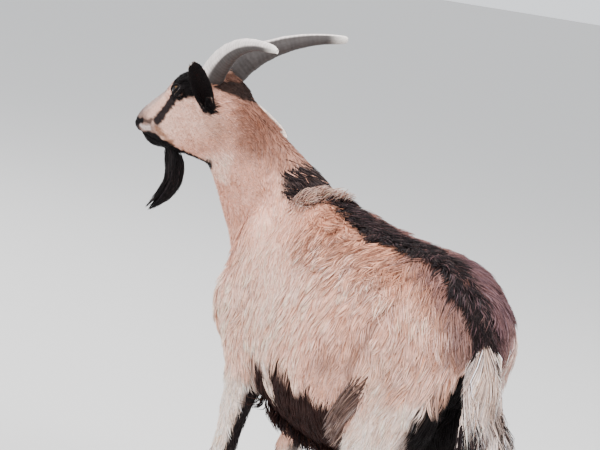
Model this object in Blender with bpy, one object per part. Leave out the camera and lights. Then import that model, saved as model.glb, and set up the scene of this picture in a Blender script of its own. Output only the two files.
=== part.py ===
"""A life-size goat that stands still with its head raised and turned to its left.

The goat faces -Y, its left side is +X, and it stands on the floor at Z = 0. The flesh is built
first as one form: masses lofted through a few measured stations are melted together, and thin cuts
then part it into trunk, neck, head, tail and legs. Horns, ears, eyes, beard and claws are shaped
one by one and fitted to that form. Every solid reaches out to the tips of the coat. Metres.
"""

import math

import bmesh
import bpy
import numpy as np
from mathutils import Matrix, Vector

# Faceting and clearances
GAP = 0.0003  # between neighbouring solids
VOXEL = 0.0055  # grain of the melted flesh
FLESH_TRIANGLES = 4300
SMOOTHING = 9  # rounds over the melted flesh
RING = 28  # points round a lofted section

# Trunk: (y, top, bottom, half width), from the brisket back to the buttocks
TRUNK = (
    (-0.385, 0.545, 0.435, 0.045),
    (-0.350, 0.612, 0.395, 0.082),
    (-0.285, 0.692, 0.365, 0.108),
    (-0.215, 0.742, 0.348, 0.122),
    (-0.120, 0.738, 0.328, 0.140),
    (-0.020, 0.731, 0.322, 0.157),
    (0.080, 0.732, 0.336, 0.162),
    (0.155, 0.738, 0.378, 0.143),
    (0.218, 0.736, 0.438, 0.121),
    (0.278, 0.714, 0.500, 0.099),
    (0.322, 0.684, 0.545, 0.073),
    (0.346, 0.655, 0.575, 0.046),
)
WIDEST = 0.46  # height of the widest point, as a share of the section
CROWN = 1.12  # above 1 the back narrows to a ridge
KEEL = 0.95

# Limb stations: (x, y, z, half depth, half width), from the body down to the foot
FORELEG = (
    (0.070, -0.250, 0.600, 0.085, 0.045),
    (0.086, -0.262, 0.520, 0.078, 0.046),
    (0.090, -0.240, 0.450, 0.064, 0.040),
    (0.092, -0.222, 0.400, 0.048, 0.033),
    (0.090, -0.236, 0.330, 0.036, 0.028),
    (0.088, -0.250, 0.260, 0.026, 0.023),
    (0.088, -0.256, 0.225, 0.027, 0.025),
    (0.088, -0.254, 0.190, 0.022, 0.020),
    (0.088, -0.252, 0.140, 0.018, 0.016),
    (0.088, -0.254, 0.095, 0.020, 0.018),
    (0.088, -0.258, 0.078, 0.023, 0.021),
    (0.088, -0.270, 0.054, 0.019, 0.020),
    (0.088, -0.280, 0.040, 0.022, 0.025),
    (0.088, -0.284, 0.030, 0.022, 0.025),
)
HINDLEG = (
    (0.044, 0.216, 0.640, 0.082, 0.040),
    (0.050, 0.222, 0.560, 0.098, 0.047),
    (0.060, 0.212, 0.480, 0.100, 0.049),
    (0.072, 0.184, 0.405, 0.086, 0.045),
    (0.076, 0.198, 0.345, 0.058, 0.036),
    (0.076, 0.246, 0.290, 0.036, 0.026),
    (0.075, 0.288, 0.250, 0.031, 0.023),
    (0.075, 0.294, 0.210, 0.024, 0.020),
    (0.075, 0.288, 0.150, 0.018, 0.016),
    (0.075, 0.280, 0.095, 0.020, 0.018),
    (0.075, 0.276, 0.078, 0.023, 0.021),
    (0.075, 0.264, 0.054, 0.019, 0.020),
    (0.075, 0.254, 0.040, 0.022, 0.025),
    (0.075, 0.250, 0.030, 0.022, 0.025),
)
STEP_FORE = {1: 0.020, -1: -0.035}  # how far each foot is set back, left and right
STEP_HIND = {1: 0.000, -1: -0.030}

# Masses of muscle and bone on each side: (x, y, z), (radius x, y, z), tilt about X in degrees
MASSES = (
    ((0.070, -0.262, 0.550), (0.054, 0.082, 0.150), 12),  # shoulder
    ((0.044, 0.234, 0.570), (0.048, 0.096, 0.130), -8),  # rump and thigh
    ((0.052, 0.175, 0.672), (0.042, 0.095, 0.050), 0),  # hook bone
    ((0.048, -0.342, 0.488), (0.052, 0.062, 0.092), 20),  # point of the shoulder
)

# Neck: (x, y, z, half depth, half width), from the withers up to the occiput
NECK = (
    (0.000, -0.225, 0.555, 0.172, 0.098),
    (0.003, -0.302, 0.632, 0.141, 0.086),
    (0.022, -0.367, 0.698, 0.114, 0.067),
    (0.048, -0.420, 0.754, 0.090, 0.051),
    (0.071, -0.457, 0.800, 0.078, 0.043),
    (0.085, -0.480, 0.836, 0.062, 0.039),
)

# Head, in its own frame: origin at the poll, nose towards -Y
HEAD_AT = (0.085, -0.477, 0.894)
HEAD_YAW, HEAD_PITCH, HEAD_ROLL = 24, 21, 4
FACE = (  # (y, top, bottom, half width)
    (0.024, -0.022, -0.085, 0.034),
    (0.000, 0.000, -0.105, 0.045),
    (-0.045, 0.016, -0.110, 0.051),
    (-0.090, 0.021, -0.108, 0.048),
    (-0.120, 0.014, -0.100, 0.038),
    (-0.146, -0.004, -0.094, 0.031),
    (-0.180, -0.018, -0.090, 0.0275),
    (-0.210, -0.033, -0.086, 0.0265),
    (-0.228, -0.047, -0.078, 0.019),
)
JAW = (
    (0.002, -0.060, -0.138, 0.026),
    (-0.030, -0.060, -0.160, 0.033),
    (-0.075, -0.070, -0.158, 0.031),
    (-0.115, -0.075, -0.140, 0.024),
    (-0.155, -0.076, -0.123, 0.020),
    (-0.190, -0.076, -0.112, 0.019),
    (-0.214, -0.078, -0.100, 0.013),
)
HEAD_MASSES = (  # (x, y, z), (radius x, y, z), tilt
    ((0.040, -0.086, -0.008), (0.020, 0.027, 0.021), 10),  # orbit
    ((0.028, -0.050, -0.098), (0.020, 0.044, 0.044), 0),  # cheek
    ((0.012, -0.212, -0.060), (0.016, 0.020, 0.018), 0),  # nostril and upper lip
    ((0.026, -0.030, 0.000), (0.026, 0.032, 0.020), -20),  # horn seat
    ((0.044, -0.014, -0.038), (0.020, 0.022, 0.024), 0),  # ear seat
)

EYE_AT, EYE_RADIUS = (0.0475, -0.088, -0.011), 0.0142

# Horn centreline in the head's frame: (x, y, z, half depth, half width)
HORN = (
    (0.026, -0.038, -0.014, 0.027, 0.018),
    (0.040, -0.004, 0.015, 0.0245, 0.0165),
    (0.053, 0.028, 0.032, 0.0215, 0.015),
    (0.070, 0.061, 0.042, 0.0175, 0.013),
    (0.090, 0.098, 0.047, 0.0140, 0.011),
    (0.112, 0.138, 0.046, 0.0105, 0.0085),
    (0.133, 0.176, 0.039, 0.0080, 0.006),
    (0.138, 0.184, 0.037, 0.0050, 0.004),
)
HORN_STRAY = {1: (0.000, 0.018, -0.013), -1: (0, 0, 0)}  # how far each tip leaves the even pair

# Ear: length, width and thickness, with the direction it points in the head's frame
EAR_LENGTH, EAR_WALL = 0.126, 0.0042
EAR_ROOTS = {1: (0.050, -0.032, -0.046), -1: (0.045, -0.014, -0.039)}  # the left is drawn forward
EAR_AIMS = {1: (0.700, 0.347, 0.623), -1: (-0.56, 0.35, -0.75)}
EAR_MOUTHS = {1: (0.50, 0.75, -0.60), -1: (-0.60, -0.62, -0.20)}  # the way the hollow faces
EAR_CURL = (  # (share of the length, radius of the curl, half angle of the curl in degrees)
    (0.00, 0.0135, 150),
    (0.15, 0.0150, 120),
    (0.35, 0.0190, 86),
    (0.60, 0.0215, 66),
    (0.85, 0.0215, 50),
    (1.00, 0.0180, 22),
)

# Beard and tail: (x, y, z, half depth, half width)
BEARD = (
    (0.000, -0.165, -0.090, 0.020, 0.012),
    (0.000, -0.163, -0.120, 0.027, 0.016),
    (0.000, -0.162, -0.152, 0.029, 0.017),
    (0.000, -0.172, -0.182, 0.025, 0.015),
    (0.000, -0.199, -0.207, 0.019, 0.011),
    (0.000, -0.238, -0.228, 0.009, 0.006),
)
TAIL = (
    (0.004, 0.300, 0.642, 0.018, 0.021),
    (0.010, 0.342, 0.616, 0.020, 0.027),
    (0.014, 0.362, 0.575, 0.019, 0.031),
    (0.015, 0.375, 0.532, 0.018, 0.039),
    (0.012, 0.390, 0.487, 0.015, 0.050),
    (0.009, 0.401, 0.447, 0.010, 0.055),
    (0.008, 0.406, 0.424, 0.004, 0.044),
)

# Claws: two to a foot
CLAW_LENGTH, CLAW_HALF_WIDTH, CLAW_HEIGHT = 0.060, 0.0125, 0.033
CLAW_SPREAD = 0.0135
CORONET = 0.0345
DEWCLAW_SPREAD, DEWCLAW_BACK, DEWCLAW_RADII = 0.012, 0.022, (0.008, 0.008, 0.012)

# Thin cuts: where each block pivots, how it tilts (about X, about Y), and how far it reaches
NAPE_TILT, HEAD_LOW, HEAD_HIGH = 14, (-0.10, -0.30, -0.26), (0.10, 0.024, 0.10)
NECK_PIVOT, NECK_TILT = (0, -0.300, 0.650), -38
NECK_LOW, NECK_HIGH = (-0.2, -0.6, 0.0), (0.25, 0.20, 0.6)
FORE_CUT = (0.040, 0.20, -0.345, -0.130, 0.350, 0.110)  # inner, outer, front, rear, top, slope
HIND_CUT = (0.003, 0.22, 0.080, 0.460, 0.452, 0.130)
CARPUS, HOCK = 0.232, 0.272


def clear_scene():
    for obj in list(bpy.data.objects):
        bpy.data.objects.remove(obj)


def material(name, colour, roughness):
    made = bpy.data.materials.new(name)
    made.use_nodes = True
    shader = made.node_tree.nodes["Principled BSDF"]
    shader.inputs["Base Color"].default_value = (*colour, 1)
    shader.inputs["Roughness"].default_value = roughness
    shader.inputs["Metallic"].default_value = 0
    return made


def new_object(name, mesh):
    obj = bpy.data.objects.new(name, mesh)
    bpy.context.scene.collection.objects.link(obj)
    return obj


def from_bmesh(name, bm):
    bmesh.ops.recalc_face_normals(bm, faces=bm.faces)
    mesh = bpy.data.meshes.new(name)
    bm.to_mesh(mesh)
    bm.free()
    return new_object(name, mesh)


def smooth_rows(rows, steps):
    """Rows read off a Catmull-Rom curve through the given rows, with this many steps between two."""
    rows = np.array(rows, float)
    padded = np.vstack([2 * rows[0] - rows[1], rows, 2 * rows[-1] - rows[-2]])
    made = []
    for before, start, end, after in zip(padded, padded[1:], padded[2:], padded[3:]):
        for t in np.arange(steps) / steps:
            made.append(
                0.5
                * (
                    2 * start
                    + (end - before) * t
                    + (2 * before - 5 * start + 4 * end - after) * t**2
                    + (3 * start - before - 3 * end + after) * t**3
                )
            )
    made.append(rows[-1])
    return np.array(made)


def loft(name, rings):
    """A closed skin through rings of equally many points, with a flat cap at each end."""
    bm = bmesh.new()
    loops = [[bm.verts.new(point) for point in ring] for ring in rings]
    for near, far in zip(loops, loops[1:]):
        for k in range(len(near)):
            after = (k + 1) % len(near)
            bm.faces.new((near[k], near[after], far[after], far[k]))
    bm.faces.new(loops[0])
    bm.faces.new(loops[-1])
    return from_bmesh(name, bm)


def power(value, exponent):
    return math.copysign(abs(value) ** exponent, value)


def barrel(name, rows, steps=4, crown=CROWN, keel=KEEL, widest=WIDEST):
    """A loft through upright sections: (y, top, bottom, half width)."""
    rings = []
    for y, top, bottom, half_width in smooth_rows(rows, steps):
        middle = bottom + widest * (top - bottom)
        ring = []
        for k in range(RING):
            angle = 2 * math.pi * k / RING
            across, up = math.sin(angle), math.cos(angle)
            rise = (top - middle) * power(up, crown) if up > 0 else (middle - bottom) * power(up, keel)
            ring.append((half_width * power(across, 0.9), y, middle + rise))
        rings.append(ring)
    return loft(name, rings)


def tube(name, rows, steps=4, side=(1, 0, 0), turn=0.0, points=RING):
    """A loft round a path: (x, y, z, half depth, half width). Width lies along side, which turns
    about Z by turn degrees from the first row to the last."""
    rows = smooth_rows(rows, steps)
    centres = rows[:, :3]
    ways = np.gradient(centres, axis=0)
    rings = []
    for share, centre, way, (depth, width) in zip(np.linspace(0, 1, len(rows)), centres, ways, rows[:, 3:]):
        way = Vector(way).normalized()
        across = Matrix.Rotation(math.radians(turn * share), 3, "Z") @ Vector(side)
        across = (across - way * across.dot(way)).normalized()
        fore = way.cross(across)
        ring = []
        for k in range(points):
            angle = 2 * math.pi * k / points
            ring.append(Vector(centre) + across * width * math.sin(angle) + fore * depth * math.cos(angle))
        rings.append(ring)
    return loft(name, rings)


def ellipsoid(name, centre, radii, tilt=0.0):
    bm = bmesh.new()
    turn = Matrix.Rotation(math.radians(tilt), 4, "X")
    place = Matrix.Translation(centre) @ turn @ Matrix.Diagonal((*radii, 1))
    bmesh.ops.create_icosphere(bm, subdivisions=3, radius=1, matrix=place)
    return from_bmesh(name, bm)


def eyeball_at(name, centre, place):
    bm = bmesh.new()
    at = place @ Matrix.Translation(centre)
    bmesh.ops.create_uvsphere(bm, u_segments=12, v_segments=8, radius=EYE_RADIUS, matrix=at)
    return from_bmesh(name, bm)


def mirrored(point, side):
    return (point[0] * side, *point[1:])


def apply(obj):
    """Replaces the object's mesh by what its modifiers make of it."""
    graph = bpy.context.evaluated_depsgraph_get()
    mesh = bpy.data.meshes.new_from_object(obj.evaluated_get(graph))
    obj.modifiers.clear()
    obj.data = mesh
    return obj


def joined(name, objects, place=None):
    """One object of all these meshes, moved by the matrix place. The objects are used up."""
    bm = bmesh.new()
    for obj in objects:
        bm.from_mesh(obj.data)
        bpy.data.objects.remove(obj)
    if place is not None:
        bm.transform(place)
    return from_bmesh(name, bm)


def melt(obj, voxel, rounds, triangles):
    """Melts overlapping shells into one smooth skin of about this many triangles."""
    remesh = obj.modifiers.new("Remesh", "REMESH")
    remesh.mode = "VOXEL"
    remesh.voxel_size = voxel
    smooth = obj.modifiers.new("Smooth", "SMOOTH")
    smooth.factor, smooth.iterations = 0.5, rounds
    apply(obj)
    thin = obj.modifiers.new("Decimate", "DECIMATE")
    thin.ratio = triangles / (2 * len(obj.data.polygons))
    return apply(obj)


def combined(obj, other, operation):
    """The object after a Boolean with the other, which stays."""
    step = obj.modifiers.new("Boolean", "BOOLEAN")
    step.operation, step.object = operation, other
    return apply(obj)


def copy_of(obj, name, grow=0.0):
    """A copy of the object, grown outwards by a clearance where one is given."""
    made = new_object(name, obj.data.copy())
    if grow:
        push = made.modifiers.new("Displace", "DISPLACE")
        push.mid_level, push.strength = 0, grow
        apply(made)
    return made


def head_place():
    turns = (("Z", HEAD_YAW), ("X", HEAD_PITCH), ("Y", HEAD_ROLL))
    place = Matrix.Translation(HEAD_AT)
    for axis, degrees in turns:
        place = place @ Matrix.Rotation(math.radians(degrees), 4, axis)
    return place


def stepped(rows, side, step):
    """A limb on one side whose foot is moved along Y by step, the shift fading out at the body."""
    top, bottom = rows[0][2], rows[-1][2]
    made = []
    for x, y, z, depth, width in rows:
        share = min(1.0, 1.3 * (top - z) / (top - bottom))
        made.append((x * side, y + step * share, z, depth, width))
    return made


def ear(name, side):
    """A leaf curled round its length, hollow on the side of its mouth."""
    way = Vector(EAR_AIMS[side]).normalized()
    mouth = Vector(EAR_MOUTHS[side])
    mouth = (mouth - way * mouth.dot(way)).normalized()
    across = way.cross(mouth)
    root = Vector(mirrored(EAR_ROOTS[side], side))
    rings = []
    for share, radius, curl in smooth_rows(EAR_CURL, 2):
        back = root + way * EAR_LENGTH * share
        wall = EAR_WALL * (1 - 0.55 * share)
        ring = []
        for reach, sense in ((radius, 1), (radius - wall, -1)):
            for k in range(7):
                angle = math.radians(curl) * sense * (k / 3 - 1)
                out = across * math.sin(angle) + mouth * (1 - math.cos(angle))
                thick = (across * math.sin(angle) - mouth * math.cos(angle)) * (reach - radius)
                ring.append(back + out * radius + thick)
        rings.append(ring)
    return loft(name, rings)


def claw(name, x, y, turn):
    """One half of a hoof: flat below, highest in front, rounded on the outer side."""
    rows = (  # (share of the length from the heel, height of the wall there)
        (0.00, 0.55),
        (0.12, 0.80),
        (0.45, 1.00),
        (0.62, 0.98),
        (0.85, 0.52),
        (1.00, 0.20),
    )
    rings = []
    for share, tall in rows:
        wide = CLAW_HALF_WIDTH * (1 - 0.75 * share**3) * (0.8 if share == 0 else 1)
        high = CLAW_HEIGHT * tall
        at_y = CLAW_LENGTH * (0.45 - share)
        narrow = wide * 0.86
        inner = -CLAW_HALF_WIDTH * 0.92 * turn
        outline = ((0, 0), (2 * wide, 0), (2 * wide, 0.15 * high), (2 * narrow, high), (0, high))
        rings.append([(inner + turn * across, at_y, up) for across, up in outline])
    obj = loft(name, rings)
    obj.data.transform(Matrix.Translation((x, y, 0)))
    return obj


def block(name, pivot, tilt, low, high):
    """A cutting block from low to high about a pivot, turned by tilt degrees (about X, about Y)."""
    size = Vector(high) - Vector(low)
    middle = (Vector(high) + Vector(low)) / 2
    bm = bmesh.new()
    bmesh.ops.create_cube(bm, size=1)
    turn = Matrix.Rotation(math.radians(tilt[0]), 4, "X") @ Matrix.Rotation(math.radians(tilt[1]), 4, "Y")
    place = Matrix.Translation(pivot) @ turn @ Matrix.Translation(middle)
    bm.transform(place @ Matrix.Diagonal((*size, 1)))
    return from_bmesh(name, bm)


def footing(name, inner, outer, front, rear, top, slope):
    """A cutting block that stands under the floor and whose top rises by slope on its outer side."""
    bm = bmesh.new()
    floor = -0.1
    corners = []
    for x, high in ((inner, top), (outer, top + slope)):
        for y in (front, rear):
            corners.append([bm.verts.new((x, y, floor)), bm.verts.new((x, y, high))])
    bmesh.ops.convex_hull(bm, input=bm.verts)
    return from_bmesh(name, bm)


def parted(body, name, cutter):
    """Cuts a piece off the body with a block, a thin gap between the two."""
    piece = combined(copy_of(body, name), cutter, "INTERSECT")
    wider = copy_of(cutter, "wider", GAP)
    combined(body, wider, "DIFFERENCE")
    for used in (wider, cutter):
        bpy.data.objects.remove(used)
    return piece


def fitted(obj, form):
    """Takes away what of the object lies inside the form or closer to it than the gap."""
    grown = copy_of(form, "grown", 2 * GAP)
    combined(obj, grown, "DIFFERENCE")
    bpy.data.objects.remove(grown)
    return obj


def flesh_masses():
    masses = [barrel("barrel", TRUNK), tube("neck", NECK, turn=HEAD_YAW)]
    for side in (1, -1):
        for rows, step in ((FORELEG, STEP_FORE), (HINDLEG, STEP_HIND)):
            limb = stepped(rows, side, step[side])
            masses.append(tube("limb", limb))
            x, y, z = limb[-4][:3]
            for out in (DEWCLAW_SPREAD, -DEWCLAW_SPREAD):
                masses.append(ellipsoid("dewclaw", (x + out, y + DEWCLAW_BACK, z - 0.004), DEWCLAW_RADII, 30))
        for centre, radii, tilt in MASSES:
            masses.append(ellipsoid("mass", mirrored(centre, side), radii, tilt))
    return masses


def head_masses():
    masses = [
        barrel("face", FACE, crown=0.85, keel=0.8, widest=0.6),
        barrel("jaw", JAW, crown=0.8, keel=0.9, widest=0.5),
    ]
    for side in (1, -1):
        for centre, radii, tilt in HEAD_MASSES:
            masses.append(ellipsoid("mass", mirrored(centre, side), radii, tilt))
    return masses


def horn_rows(side):
    """The horn's rows on this side, straying towards its own tip over the outer half."""
    made = []
    half = len(HORN) // 2
    for k, (x, y, z, depth, width) in enumerate(HORN):
        stray = Vector(HORN_STRAY[side]) * (max(0, k - half + 1) / half) ** 2
        made.append((x * side + stray.x, y + stray.y, z + stray.z, depth, width))
    return made


def legs_from(flesh, side):
    """The two legs of one side, each parted at the carpus or hock."""
    word = "left" if side == 1 else "right"
    made = []
    for name, cut, step, joint in (
        ("foreleg", FORE_CUT, STEP_FORE[side], CARPUS),
        ("hindleg", HIND_CUT, STEP_HIND[side], HOCK),
    ):
        inner, outer, front, rear, top, slope = cut
        cutter = footing("cutter", inner * side, outer * side, front + step, rear + step, top, slope)
        upper = parted(flesh, f"{name}_{word}_upper", cutter)
        reach = block("cutter", (0, 0, 0), (0, 0), (-0.3, -0.6, -0.1), (0.3, 0.6, joint))
        lower = parted(upper, f"{name}_{word}_lower", reach)
        made += [upper, lower]
    return made


def claws_of(side):
    word = "left" if side == 1 else "right"
    made = []
    for name, rows, step in (("fore", FORELEG, STEP_FORE), ("hind", HINDLEG, STEP_HIND)):
        x, y = stepped(rows, side, step[side])[-1][:2]
        for half, turn in (("outer", side), ("inner", -side)):
            made.append(claw(f"claw_{name}_{word}_{half}", x + turn * CLAW_SPREAD, y, turn))
    return made


def dressed(objects, shade):
    for obj in objects:
        obj.data.materials.clear()
        obj.data.materials.append(shade)
    return objects


def settle(objects):
    """Moves everything so that the origin is under the middle of the bounding box, on the floor."""
    corners = np.array([v.co[:] for obj in objects for v in obj.data.vertices])
    low, high = corners.min(axis=0), corners.max(axis=0)
    shift = Matrix.Translation((-(low[0] + high[0]) / 2, -(low[1] + high[1]) / 2, -low[2]))
    for obj in objects:
        obj.data.transform(shift)


def main():
    clear_scene()
    coat = material("coat", (0.62, 0.42, 0.32), 0.9)
    dark_coat = material("dark_coat", (0.03, 0.02, 0.02), 0.9)
    pale_coat = material("pale_coat", (0.70, 0.60, 0.54), 0.9)
    horn_sheath = material("horn_sheath", (0.33, 0.29, 0.27), 0.55)
    claw_horn = material("claw_horn", (0.06, 0.045, 0.04), 0.5)
    eyeball = material("eyeball", (0.35, 0.20, 0.06), 0.1)

    place = head_place()
    head_form = joined("head_form", head_masses(), place)
    flesh = joined("flesh", [head_form, *flesh_masses()])
    melt(flesh, VOXEL, SMOOTHING, FLESH_TRIANGLES)

    horns, ears, eyes = [], [], []
    for side, word in ((1, "left"), (-1, "right")):
        horn = tube(f"horn_{word}", horn_rows(side), steps=2, points=12)
        horn.data.transform(place)
        horns.append(fitted(horn, flesh))
        leaf = ear(f"ear_{word}", side)
        leaf.data.transform(place)
        leaf = fitted(leaf, flesh)
        ears.append(fitted(leaf, horn))
        eyes.append(eyeball_at(f"eye_{word}", mirrored(EYE_AT, side), place))
    beard = tube("beard", BEARD, steps=2, points=12)
    beard.data.transform(place)
    fitted(beard, flesh)
    tail = fitted(tube("tail", TAIL, steps=2, points=12), flesh)

    for ball in eyes:
        socket = copy_of(ball, "socket", 2 * GAP)
        combined(flesh, socket, "DIFFERENCE")
        bpy.data.objects.remove(socket)
    below = block("cutter", (0, 0, 0), (0, 0), (-0.3, -0.6, -0.1), (0.3, 0.6, CORONET))
    combined(flesh, below, "DIFFERENCE")
    bpy.data.objects.remove(below)

    legs = legs_from(flesh, 1) + legs_from(flesh, -1)
    cutter = block("cutter", (0, 0, 0), (NAPE_TILT, 0), HEAD_LOW, HEAD_HIGH)
    cutter.data.transform(place)
    head = parted(flesh, "head", cutter)
    neck = parted(flesh, "neck", block("cutter", NECK_PIVOT, (NECK_TILT, 0), NECK_LOW, NECK_HIGH))
    flesh.name = "trunk"
    claws = claws_of(1) + claws_of(-1)

    dressed([flesh, neck, head, *legs, ears[1]], coat)
    dressed([beard, ears[0]], dark_coat)
    dressed([tail], pale_coat)
    dressed(horns, horn_sheath)
    dressed(claws, claw_horn)
    dressed(eyes, eyeball)
    settle([flesh, neck, head, beard, tail, *legs, *ears, *horns, *claws, *eyes])


main()
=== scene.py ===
"""Dresses the goat: one skin under a coat of mesh tufts, with its own horns, eyes and claws.

The skin replaces every node of flesh and lies inside it by the coat's depth. Tufts are rooted on
the skin, run over it the way the hair lies, and end about where the solids end. Colours come from
one function of place on the body, which the skin and the tufts share.
"""

import contextlib
import math

import bmesh
import bpy
import numpy as np
from mathutils import Matrix, Vector
from mathutils.bvhtree import BVHTree
from mathutils.kdtree import KDTree


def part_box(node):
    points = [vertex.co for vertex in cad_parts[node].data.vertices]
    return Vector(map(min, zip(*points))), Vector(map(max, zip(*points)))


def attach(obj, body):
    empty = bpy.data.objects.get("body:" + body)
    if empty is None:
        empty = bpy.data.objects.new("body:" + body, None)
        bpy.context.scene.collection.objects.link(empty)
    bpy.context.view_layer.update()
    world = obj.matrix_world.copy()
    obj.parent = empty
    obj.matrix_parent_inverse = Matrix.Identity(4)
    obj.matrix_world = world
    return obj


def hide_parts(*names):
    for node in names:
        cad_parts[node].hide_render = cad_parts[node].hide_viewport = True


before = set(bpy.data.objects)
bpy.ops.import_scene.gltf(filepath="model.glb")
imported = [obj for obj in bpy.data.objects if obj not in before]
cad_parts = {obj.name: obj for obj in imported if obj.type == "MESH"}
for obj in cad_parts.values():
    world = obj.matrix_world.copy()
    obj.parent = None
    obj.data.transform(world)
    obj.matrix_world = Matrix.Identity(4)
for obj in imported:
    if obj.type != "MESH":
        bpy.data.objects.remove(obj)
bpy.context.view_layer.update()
rng = np.random.default_rng(29)

# The goat's own axes: it faces -Y, its left is +X. The head's: origin at the poll, nose to -Y.
HEAD_AT = np.array([0.085, -0.477, 0.894])
HEAD_TURNS = (("Z", 24), ("X", 21), ("Y", 4))
EYE_AT, EYE_RADIUS = np.array([0.0475, -0.088, -0.011]), 0.0142
HORN = (  # centreline in the head's frame: x, y, z, half depth, half width
    (0.022, -0.041, -0.034, 0.026, 0.017),
    (0.026, -0.038, -0.014, 0.027, 0.018),
    (0.04, -0.004, 0.015, 0.0245, 0.0165),
    (0.053, 0.028, 0.032, 0.0215, 0.015),
    (0.07, 0.061, 0.042, 0.0175, 0.013),
    (0.09, 0.098, 0.047, 0.014, 0.011),
    (0.112, 0.138, 0.046, 0.0105, 0.0085),
    (0.133, 0.176, 0.039, 0.008, 0.006),
    (0.138, 0.184, 0.037, 0.004, 0.003),
)
HORN_STRAY = {1: (0.0, 0.018, -0.013), -1: (0, 0, 0)}  # how far each tip leaves the even pair
EAR_LENGTH = 0.126
EAR_ROOTS = {1: (0.05, -0.032, -0.046), -1: (0.045, -0.014, -0.039)}
EAR_AIMS = {1: (0.7, 0.347, 0.623), -1: (-0.56, 0.35, -0.75)}
EAR_MOUTHS = {1: (0.5, 0.75, -0.6), -1: (-0.6, -0.62, -0.2)}
EAR_MARKS = (0, 0.15, 0.35, 0.6, 0.85, 1)  # shares of the ear's length, and its half width there
EAR_HALVES = (0.007, 0.013, 0.019, 0.0196, 0.0165, 0.0068)
BEARD = (  # centreline in the head's frame: x, y, z, half depth, half width
    (0.0, -0.165, -0.085, 0.02, 0.012),
    (0.0, -0.163, -0.12, 0.027, 0.016),
    (0.0, -0.162, -0.152, 0.029, 0.017),
    (0.0, -0.172, -0.182, 0.025, 0.015),
    (0.0, -0.199, -0.207, 0.019, 0.011),
    (0.0, -0.238, -0.228, 0.009, 0.006),
)
TAIL = (  # centreline in the goat's frame: x, y, z, half depth, half width
    (0.004, 0.3, 0.642, 0.018, 0.021),
    (0.01, 0.342, 0.616, 0.02, 0.027),
    (0.014, 0.362, 0.575, 0.019, 0.031),
    (0.015, 0.375, 0.532, 0.018, 0.039),
    (0.012, 0.39, 0.487, 0.015, 0.05),
    (0.009, 0.401, 0.447, 0.01, 0.055),
    (0.008, 0.406, 0.424, 0.004, 0.044),
)
DOCK_SHARE = 0.62  # how much of the tail's length the flesh of it takes

VOXEL = 0.0058
PIECE_LIMIT = 190000  # triangles in one piece of coat
WELD = 0.00002  # CAD corners closer than this are one
SKIN_SWELL = 0.0012  # the solids of flesh swell by this much, which closes the gaps between them
EAR_VOXEL = 0.0023
EYE_OPENING = (0.0112, 0.0058)  # half length and half height of the opening between the eyelids
BARE_EYE = (0.015, 0.0104)  # the same of the place round it that grows no hair
HAIR_START, LONG_HAIR_START = 0.03, 0.232  # heights above the floor on the legs
PATCH = (0.0014, 0.003)  # half width and length of each tuft's patch on the map
SLICE = 0.05  # tufts are sorted by slices along the goat, so that each piece of coat keeps together
SKIN_SHADE = 0.86  # the skin is painted a little darker than the hair over it, as shade under the coat
SIDES = ((1, "left"), (-1, "right"))
SIDEWAYS = np.array([1.0, 0, 0])


# ---------------------------------------------------------------- small helpers


def unit(v):
    v = np.asarray(v, float)
    return v / np.maximum(np.linalg.norm(v, axis=-1, keepdims=True), 1e-9)


def ramp(value, start, end):
    """Rises smoothly from 0 at start to 1 at end; start may be the larger."""
    t = np.clip((value - start) / (end - start), 0, 1)
    return t * t * (3 - 2 * t)


def within(value, low, full, fading, high):
    """1 between full and fading, falling smoothly to 0 at low and high."""
    return ramp(value, low, full) * ramp(value, high, fading)


def linear(red, green, blue):
    """A display colour of 0 to 255 as a linear one."""
    c = np.array([red, green, blue]) / 255
    return np.where(c <= 0.04045, c / 12.92, ((c + 0.055) / 1.055) ** 2.4)


def noise(points, size, seed):
    """A smooth field between about -1 and 1 whose waves are about size long."""
    waves = np.random.default_rng(seed)
    total = 0
    for _ in range(5):
        way = unit(waves.normal(size=3)) * (2 * math.pi / size) * waves.uniform(0.7, 1.4)
        drift = 1.3 * np.sin(points @ way[[1, 2, 0]] * 0.7)
        total = total + np.sin(points @ way + waves.uniform(0, 6.28) + drift)
    return total / 2.6


def spot(*axes):
    """A soft spot, 1 at its middle: for each axis the values, their middle and the width."""
    return np.exp(-sum(((values - middle) / width) ** 2 for values, middle, width in axes))


def smooth_rows(rows, steps):
    rows = np.array(rows, float)
    padded = np.vstack([2 * rows[0] - rows[1], rows, 2 * rows[-1] - rows[-2]])
    made = []
    for before, start, end, after in zip(padded, padded[1:], padded[2:], padded[3:]):
        for t in np.arange(steps) / steps:
            a, b = 2 * start + (end - before) * t, (2 * before - 5 * start + 4 * end - after) * t**2
            made.append(0.5 * (a + b + (3 * start - before - 3 * end + after) * t**3))
    made.append(rows[-1])
    return np.array(made)


def turned():
    turn = Matrix.Identity(3)
    for axis, degrees in HEAD_TURNS:
        turn = turn @ Matrix.Rotation(math.radians(degrees), 3, axis)
    return np.array(turn)


HEAD_TURN = turned()
eye_box = np.array([v.co[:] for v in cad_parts["eye_left"].data.vertices])
SHIFT = (eye_box.min(0) + eye_box.max(0)) / 2 - (HEAD_AT + HEAD_TURN @ EYE_AT)


def to_goat(points):
    return points - SHIFT


def from_goat(points):
    return points + SHIFT


def to_head(points):
    return (points - SHIFT - HEAD_AT) @ HEAD_TURN


def from_head(points):
    return np.asarray(points) @ HEAD_TURN.T + HEAD_AT + SHIFT


def both(point, side):
    return np.array([point[0] * side, point[1], point[2]])


# ---------------------------------------------------------------- meshes


def placed(name, data):
    """A new object of the scene."""
    obj = bpy.data.objects.new(name, data)
    bpy.context.scene.collection.objects.link(obj)
    return obj


def mesh_object(name, points, faces):
    mesh = bpy.data.meshes.new(name)
    mesh.from_pydata([tuple(p) for p in points], [], faces)
    mesh.update()
    return placed(name, mesh)


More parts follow.
